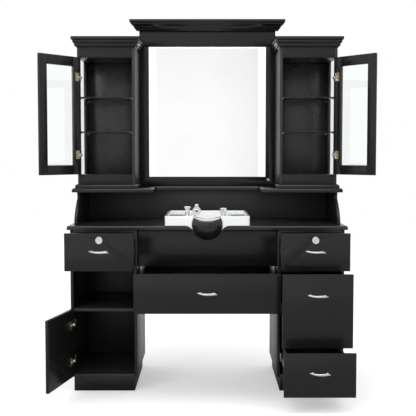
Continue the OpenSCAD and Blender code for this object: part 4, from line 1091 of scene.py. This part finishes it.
@dataclass(frozen=True)
class Knob:
    """A tap's knob with a ring of ribs, in millimetres, but for heights that are shares of its own."""

    body: str
    at: Pair
    foot: float
    height: float
    skirt: tuple[Pair, ...]
    shares: tuple[Pair, ...]
    lip_r: float
    ribs: int
    rib_ring_r: float
    rib_r: float
    rib_share_z: float
    rib_share_h: float

    def build(self, deck_z: float, hardware: Hardware) -> None:
        """Turns the knob and sets its ribs.

        Args:
            deck_z: Height of the deck that its tap stands on.
            hardware: The shared trees.
        """
        z, h = deck_z + self.foot, self.height
        outline = [(0, 17), (4.05, 17), (4.05, 0), *self.skirt]
        outline += [(r, share * h) for r, share in self.shares] + [(self.lip_r, h - 0.4), (0, h - 0.8)]
        solid = Solid().lathe((*self.at, z), outline)
        fitted(solid.tidy().object(self.body + "_turned"), self.body, SATIN, self.body)
        sizes = {"Ribs": self.ribs, "Ring Radius": self.rib_ring_r, "Rib Radius": self.rib_r,
                 "Rib Length": self.rib_share_h * h}
        hardware.flutes.fit(self.body + "_ribs", self.body, sizes, at=(*self.at, z + self.rib_share_z * h))


@dataclass
class Taps:
    """Both taps and the spray on the bowl's deck, in millimetres."""

    deck_z: float = 971.3
    spray: Pair = (-77.0, -26.5)
    elbow_h: float = 28.0
    face_from_elbow: Triple = (18.0, -22.0, 7.0)
    face_tilt: float = 72.0
    nozzle_rings: tuple[tuple[float, int], ...] = ((11.5, 12), (15.0, 16), (18.2, 20))
    nozzle_z: float = 12.7
    nozzle_r: float = 0.9
    dot_out: float = 16.0
    dot_share_z: float = 0.7
    left: Knob = Knob(
        "left_tap_knob", (-112.0, 19.5), foot=24.0, height=36.0, skirt=((12.4, 0), (13, 0.8), (12.6, 4)),
        shares=((11.2, 0.3), (11, 0.6), (12.2, 0.66), (17.6, 0.73), (20.4, 0.77), (21, 0.8),
                (21, 0.93), (20.2, 0.97), (18.6, 1)),
        lip_r=6.0, ribs=20, rib_ring_r=10.9, rib_r=1.1, rib_share_z=0.36, rib_share_h=0.44)
    right: Knob = Knob(
        "right_tap_knob", (91.0, 19.5), foot=19.5, height=32.0, skirt=((16.6, 0), (17.4, 0.8)),
        shares=((17, 0.1), (17, 0.7), (18, 0.75), (20.4, 0.8), (21, 0.83), (21, 0.93), (20.2, 0.98),
                (19, 1)),
        lip_r=7.0, ribs=14, rib_ring_r=16.4, rib_r=1.6, rib_share_z=0.37, rib_share_h=0.56)

    def build(self, hardware: Hardware) -> None:
        """Builds the bodies, the two knobs with the hot index dot, and the spray head."""
        self._bodies()
        for knob in (self.left, self.right):
            knob.build(self.deck_z, hardware)
        x, y = self.right.at
        z = self.deck_z + self.right.foot + self.dot_share_z * self.right.height
        dot = Solid().lathe((x, y - self.dot_out, z), [
            (0, 0), (3.4, 0), (3.4, 2.4), (2.4, 3.2), (0, 3.4)], 24, ALONG_Y)
        fitted(dot.tidy().object("right_tap_index"), "right_tap_knob", HOT_DOT)
        self._spray(hardware)

    def _bodies(self) -> None:
        """Flanges, necks, threaded tails and the spray's socket."""
        solid = Solid()
        for knob in (self.left, self.right):
            neck = knob.foot - 0.3
            thread = [(7.5 - 0.7 * (k % 2), -80.0 + 1.6 * k) for k in range(34)]
            solid.lathe((*knob.at, self.deck_z), [
                (0, -84), (6.6, -84), (7.5, -82.5), *thread, (7.5, -20.2), (13.6, -20),
                (13.6, -12), (7.5, -12), (7.5, 0), (21.8, 0), (23, 1.2), (23, 3.4), (21.4, 5),
                (13, 6.2), (11, 8.5), (11, neck - 2.2), (9.6, neck - 0.5), (8, neck), (4, neck),
                (4, neck + 15), (3.2, neck + 16), (0, neck + 16)])
        solid.lathe((*self.spray, self.deck_z), [
            (0, 0), (15, 0), (16, 1), (16, 2.6), (13, 4.4), (13, 12.6), (11.8, 14),
            (9, 14), (8.05, 12.8), (8.05, 3), (0, 3)])
        fitted(solid.tidy().object("tap_bodies_turned"), "cabinet", SATIN, "tap_bodies")

    def _spray(self, hardware: Hardware) -> None:
        """The spray head: stem, valve, elbow, bell and a face ringed with nozzles round a dark core."""
        elbow = Vector((*self.spray, self.deck_z + self.elbow_h))
        face = elbow + Vector(self.face_from_elbow)
        tilt = Matrix.Rotation(math.radians(self.face_tilt), 3, "X")
        solid = Solid().lathe((*self.spray, self.deck_z + 3.3), [
            (0, 0), (7.2, 0), (8, 0.8), (8, 12.6), (10, 13.2), (10, 17), (8, 17.6),
            (8, 24.7), (0, 24.7)])
        solid.lathe(face + Vector((0, 8, 0)), [
            (0, 0), (10.5, 0), (10.5, 29.6), (11.8, 30.2), (12.5, 31), (12.5, 39.2), (11.4, 40.6),
            (9.4, 41), (0, 41)])
        solid.lathe(elbow, [(0, -9.5)] + [
            (9.5 * math.cos(a), 9.5 * math.sin(a)) for a in np.linspace(-1.4, 1.4, 15)] + [(0, 9.5)])
        solid.lathe(face, [
            (0, -20), (11, -20), (12, -18.5), (12, -4), (14, -1), (21, 3), (24, 6),
            (24.5, 8.5), (24.5, 12.2), (23.4, 13.8), (20.5, 14), (19.6, 13), (9, 12.4), (7, 13.4),
            (7, 7), (0, 7)], 56, tilt)
        fitted(solid.tidy().object("spray_head_turned"), "spray_head", SATIN, "spray_head")
        turns = [(r, 2 * math.pi * k / count) for r, count in self.nozzle_rings for k in range(count)]
        hardware.nozzles.fit("spray_nozzles", "spray_head", {"Bead Radius": self.nozzle_r}, upright([
            face + tilt @ Vector((r * math.cos(a), r * math.sin(a), self.nozzle_z)) for r, a in turns]))
        core = Solid().lathe(face, [
            (0, 7.1), (6.9, 7.1), (6.9, 12.4), (6.2, 13.6), (4.6, 14), (0, 13.4)], 32, tilt)
        fitted(core.tidy().object("spray_core"), "spray_head", PAD)


# Doors

@dataclass
class Door:
    """A hinged door: its pivot, opening and hinges, drawn shut on the right, in millimetres."""

    body: str
    pivot: Pair
    opened: float
    mirrored: bool
    cup_x: float
    face_y: float
    hinge_z: Pair
    flange_t: float = 2.0
    screw_up: float = 17.8
    screw_r: float = 3.4

    def place(self) -> Matrix:
        """Matrix in metres from the shut right-hand door to where it stands."""
        at = Matrix.Translation(Vector((*self.pivot, 0.0)) * MM)
        swing = at @ Matrix.Rotation(math.radians(self.opened), 4, "Z") @ at.inverted()
        return MIRRORED @ swing if self.mirrored else swing

    def screws(self, hardware: Hardware) -> None:
        """Two screws in each hinge flange on the door."""
        place = self.place()
        out = place.to_3x3() @ Vector((0.0, 1.0, 0.0))
        seats = [(place @ (Vector((self.cup_x, self.face_y + self.flange_t, z + up)) * MM) / MM, out)
                 for z in self.hinge_z for up in (-self.screw_up, self.screw_up)]
        hardware.screws.fit(self.body + "_hinge_screws", self.body, Screws.head(self.screw_r), seats)


@dataclass
class Doors:
    """The two glass doors and the cupboard door, with their hinges and the cupboard's pull."""

    glass_hinge_z: Pair = (1320.5, 1761.5)
    lower_hinge_z: Pair = (174.5, 379.0)
    pull_at: Triple = (467.5, -89.0, 276.75)
    glass_plate: Pair = (729.2, 177.0)
    lower_plate: Pair = (-741.9, -13.0)
    plate_screw_up: float = 14.0
    plate_screw_r: float = 2.9
    past_pull: float = -0.80

    def build(self, hardware: Hardware) -> None:
        """Dresses the hinges, panes and pull of each door."""
        for side in ("left", "right"):
            body = side + "_glass_door"
            eased_node(body + "_hinges", NICKEL, 0.25, 1)
            dress(frame["nodes"][body + "_pane"], GLASS)
            Door(body, pivot=(738.0, 143.0), opened=129.5, mirrored=side == "left", cup_x=705.0,
                 face_y=170.0, hinge_z=self.glass_hinge_z).screws(hardware)
        eased_node("hinge_arms", NICKEL, 0.3, 1)
        door = Door("cupboard_door", pivot=(753.0, -82.0), opened=102.0, mirrored=True, cup_x=720.0,
                    face_y=-73.0, hinge_z=self.lower_hinge_z)
        door.screws(hardware)
        fittings = "lower_door_fittings"
        # The cupboard door's hinge leaves take the darker nickel: painted shade
        eased_node(fittings, SHADED_NICKEL, 0.25, 1, "cupboard_door_hinge_leaves", self.past_pull)
        stood = Matrix.Translation(Vector(self.pull_at) * MM) @ Matrix.Rotation(math.radians(90.0), 4, "Y")
        Pull().build(hardware.bar, "cupboard_door_pull", "cupboard_door", door.place() @ stood, fittings)
        self._fixed_screws(hardware)

    def _fixed_screws(self, hardware: Hardware) -> None:
        """Two screws in each fixed hinge plate on the cabinet."""
        (glass_x, glass_y), (lower_x, lower_y) = self.glass_plate, self.lower_plate
        plates = [(side * glass_x, glass_y, z, -side) for side in (-1, 1) for z in self.glass_hinge_z]
        plates += [(lower_x, lower_y, z, 1) for z in self.lower_hinge_z]
        seats = [(Vector((x, y, z + up)), Vector((way, 0.0, 0.0))) for x, y, z, way in plates
                 for up in (-self.plate_screw_up, self.plate_screw_up)]
        hardware.screws.fit("hinge_plate_screws", "cabinet", Screws.head(self.plate_screw_r), seats)


# Drawers

@dataclass
class Drawer:
    """One drawer's metal: pull, slide members and, where it has one, its cam lock."""

    body: str
    face: Triple
    bay: Pair
    slide_z: float
    slide_y: float
    locked: bool = False
    slide_len: float = 550.0
    member_h: float = 35.0
    member_t: float = 6.2
    slide_space: float = 12.7
    lip: float = 1.4
    balls: int = 24
    ball_pitch: float = 9.0
    ball_in: float = 5.6
    ball_r: float = 1.5
    lock_z: float = 867.0
    rose_r: float = 19.0
    rose_t: float = 3.0
    bore_r: float = 6.05
    beads: int = 16
    bead_ring_r: float = 13.5
    bead_r: float = 1.8

    def build(self, hardware: Hardware) -> None:
        """Builds the pull, the slides and the lock."""
        node = self.body + "_fittings"
        place = Matrix.Translation(Vector(self.face) * MM)
        Pull().build(hardware.bar, self.body + "_pull", self.body, place, node)
        self._slides(hardware, node)
        if self.locked:
            self._lock(hardware, node)

    def _slides(self, hardware: Hardware, node: str) -> None:
        """Rolled steel members beside the box, each with its rows of balls.

        Args:
            hardware: The shared trees.
            node: The CAD node that they help to replace.
        """
        solid, balls = Solid(), []
        half, lip = self.member_h / 2, self.lip
        for edge, way in ((self.bay[0], -1.0), (self.bay[1], 1.0)):
            inner = edge - way * self.slide_space
            outer, web = inner + way * self.member_t, inner + way * lip
            section = [(inner, -half), (outer, -half), (outer, -half + lip), (web + way * 1.2, -half + 3.2),
                       (web, -half + 6.0), (web, half - 6.0), (web + way * 1.2, half - 3.2),
                       (outer, half - lip), (outer, half), (inner, half)]
            solid.rows([[(x, y, self.slide_z + z) for x, z in section]
                        for y in (self.slide_y, self.slide_y + self.slide_len)])
            balls += [Vector((web + way * 1.8, self.slide_y + 14.0 + self.ball_pitch * k, self.slide_z + up))
                      for k in range(self.balls) for up in (self.ball_in - half, half - self.ball_in)]
        fitted(solid.tidy().object(self.body + "_slides", 25.0), self.body, ZINC, node)
        hardware.balls.fit(self.body + "_slide_balls", self.body, {"Bead Radius": self.ball_r},
                           upright(balls))

    def _lock(self, hardware: Hardware, node: str) -> None:
        """Rose with a raised rim and a ring of beads, and the barrel round the turning plug.

        Args:
            hardware: The shared trees.
            node: The CAD node that they help to replace.
        """
        x, y, _ = self.face
        r, t, bore = self.rose_r, self.rose_t, self.bore_r
        rose = Solid().lathe((x, y, self.lock_z), [
            (9.5, -24), (9.5, -0.05), (r, 0), (r, t - 1), (r - 0.8, t - 0.1), (r - 2.2, t),
            (r - 3.4, t - 0.9), (11.4, t - 1.2), (10.4, t - 0.2), (9.4, t), (bore + 0.8, t), (bore, t - 0.6),
            (bore, -24), (9.5, -24)], 64, ALONG_Y)
        fitted(rose.tidy().object(self.body + "_lock_rose"), self.body, CHROME, node)
        ring = self.bead_ring_r
        hardware.beads.fit(self.body + "_lock_beads", self.body, {"Bead Radius": self.bead_r}, upright([
            Vector((x + ring * math.cos(a), y - t + 1.2, self.lock_z + ring * math.sin(a)))
            for a in np.linspace(0.0, 2 * math.pi, self.beads + 1)[:-1]]))


@dataclass
class Drawers:
    """All five drawers, and the two plugs that turn in their locks."""

    face_y: float = -89.0
    slide_y: float = -73.0
    pedestal_x: float = 575.0
    bay: Pair = (406.0, 744.0)
    # Each pedestal drawer's body, how far it is open, and the heights of its pull and its slides
    pedestal: tuple[tuple[str, float, float, float], ...] = (
        ("left_top_drawer", 188.0, 803.5, 791.5), ("right_top_drawer", 187.0, 803.5, 791.5),
        ("middle_drawer", 297.0, 586.5, 472.0), ("bottom_drawer", 405.5, 205.0, 191.5))

    def build(self, hardware: Hardware) -> None:
        """Builds every drawer's metal."""
        (lo, hi), x = self.bay, self.pedestal_x
        for body, out, pull_z, slide_z in self.pedestal:
            side, bay = (-x, (-hi, -lo)) if body.startswith("left") else (x, (lo, hi))
            Drawer(body, (side, self.face_y - out, pull_z), bay, slide_z, self.slide_y - out,
                   locked=body.endswith("top_drawer")).build(hardware)
        Drawer("centre_drawer", face=(0.0, -333.0, 589.75), bay=(-390.0, 390.0), slide_z=593.5,
               slide_y=-317.0).build(hardware)
        for node in ("left_lock", "right_lock"):
            eased_node(node, CHROME, 0.3, 1)
        dress(frame["nodes"]["slide_channels"], ZINC)


# Mirror wall and towers

@dataclass
class MirrorWall:
    """Mirror, its lights and the light button, in millimetres."""

    button: Pair = (376.0, 1168.5)
    button_y: float = 507.0
    stem_y: float = 519.0

    def build(self) -> None:
        """Dresses the glass and lights, and turns the button."""
        for node, finish in (("mirror_glass", MIRROR), ("light_strips", LIT), ("light_channels", ALUMINIUM)):
            dress(frame["nodes"][node], finish)
        x, z = self.button
        solid = Solid().lathe((x, self.button_y, z), [
            (0, 0), (8.4, 0), (9, 0.6), (9, 5.2), (8.2, 6.6), (6.6, 7), (5.8, 6.4), (0, 6.1)],
            48, ALONG_Y)
        solid.lathe((x, self.stem_y, z), [(0, 0), (4, 0), (4, 16.2), (0, 16.2)], 32, ALONG_Y)
        fitted(solid.tidy().object("light_button_turned"), "light_button", CHROME, "light_button")


@dataclass
class Towers:
    """Glass and pins of the towers, with the eased edges' widths in millimetres."""

    shelf_edge: float = 0.8
    pin_edge: float = 0.4

    def build(self) -> None:
        """Dresses the windows, shelves and pins."""
        eased_node("tower_shelves", SHELF, self.shelf_edge)
        dress(frame["nodes"]["tower_windows"], WINDOW)
        eased_node("shelf_pins", CHROME, self.pin_edge)


# Studio

@dataclass(frozen=True)
class Lamp:
    """A softbox that faces a point."""

    name: str
    at: Triple
    aim: Triple
    size: Pair
    watts: float
    glare: bool = False

    def build(self) -> None:
        """Adds the lamp."""
        data = bpy.data.lights.new(self.name, "AREA")
        data.shape = "RECTANGLE"
        data.size, data.size_y = self.size
        data.energy = self.watts
        obj = linked(self.name, data)
        obj.visible_glossy = self.glare
        obj.location = self.at
        obj.rotation_euler = (Vector(self.aim) - Vector(self.at)).to_track_quat("-Z", "Y").to_euler()


@dataclass
class Studio:
    """Camera, lamps, floor and the pale surroundings, in metres."""

    image_px: float = 416.0
    focal_px: float = 859.0
    sensor_mm: float = 36.0
    centre_px: float = 207.3
    camera: Triple = (0.0, -4.809, 1.317)
    pitch: float = 3.5
    world_light: float = 0.95
    floor_half: float = 9000.0
    lamps: tuple[Lamp, ...] = (
        Lamp("key_softbox", (-3.6, -4.2, 2.6), (0.0, 0.2, 1.0), (3.0, 3.0), 75.0),
        Lamp("fill_softbox", (3.8, -4.0, 2.2), (0.0, 0.2, 1.0), (3.0, 3.0), 24.0),
        Lamp("top_softbox", (0.0, -0.8, 4.4), (0.0, 0.1, 1.0), (4.0, 3.0), 60.0, True))

    def build(self) -> None:
        """Builds everything that isn't part of the object."""
        self._camera()
        self._world()
        half = self.floor_half
        floor = Solid().faces([(-half, -half, 0), (half, -half, 0), (half, half, 0), (-half, half, 0)],
                              [(0, 1, 2, 3)]).object("floor")
        floor.data.materials.append(paint_of(FLOOR))
        for lamp in self.lamps:
            lamp.build()
        bpy.context.scene.view_settings.view_transform = "Standard"

    def _camera(self) -> None:
        """A long lens level with the station's upper half."""
        data = bpy.data.cameras.new("camera")
        data.sensor_width = self.sensor_mm
        data.lens = self.focal_px / self.image_px * self.sensor_mm
        data.shift_x = (self.image_px / 2 - self.centre_px) / self.image_px
        obj = linked("camera", data)
        obj.location = self.camera
        obj.rotation_euler = (math.radians(90.0 - self.pitch), 0.0, 0.0)
        bpy.context.scene.camera = obj

    def _world(self) -> None:
        """Soft light for surfaces; white for the camera and for gloss, greyer overhead and to the right."""
        world = bpy.data.worlds.new("studio")
        bpy.context.scene.world = world
        world.use_nodes = True
        world.node_tree.nodes.clear()
        g = Graph(world.node_tree)
        direction = g.node("ShaderNodeTexCoord", out="Generated")
        sky = g.mix(g.ramp(g.part(direction, "Z"), 0.03, 0.22), 1.0, 0.86)
        sky = g.mix(g.ramp(g.part(direction, "X"), 0.0, 0.14), sky, 0.74)
        seen, mirrored, light = (
            g.node("ShaderNodeBackground", {"Color": colour, "Strength": strength}) for colour, strength in (
                (rgba(1.0), 1.0), (sky, 1.0), (rgba(1.0), self.world_light)))
        inner = g.either(g.ray("Glossy"), light, mirrored)
        straight = (g.ray("Camera") + g.ray("Transmission")).least(1.0)
        g.end("ShaderNodeOutputWorld", g.either(straight, inner, seen))


def main() -> None:
    """Dresses the station, piece by piece, and sets it in the studio."""
    logging.basicConfig(level=logging.INFO, format="%(message)s")
    hardware = Hardware()
    for part in (Boards(), Hutch(), Towers(), MirrorWall()):
        part.build()
    for part in (Doors(), Drawers(), WashBowl(), Taps()):
        part.build(hardware)
    Studio().build()


if __name__ == "__main__":
    main()
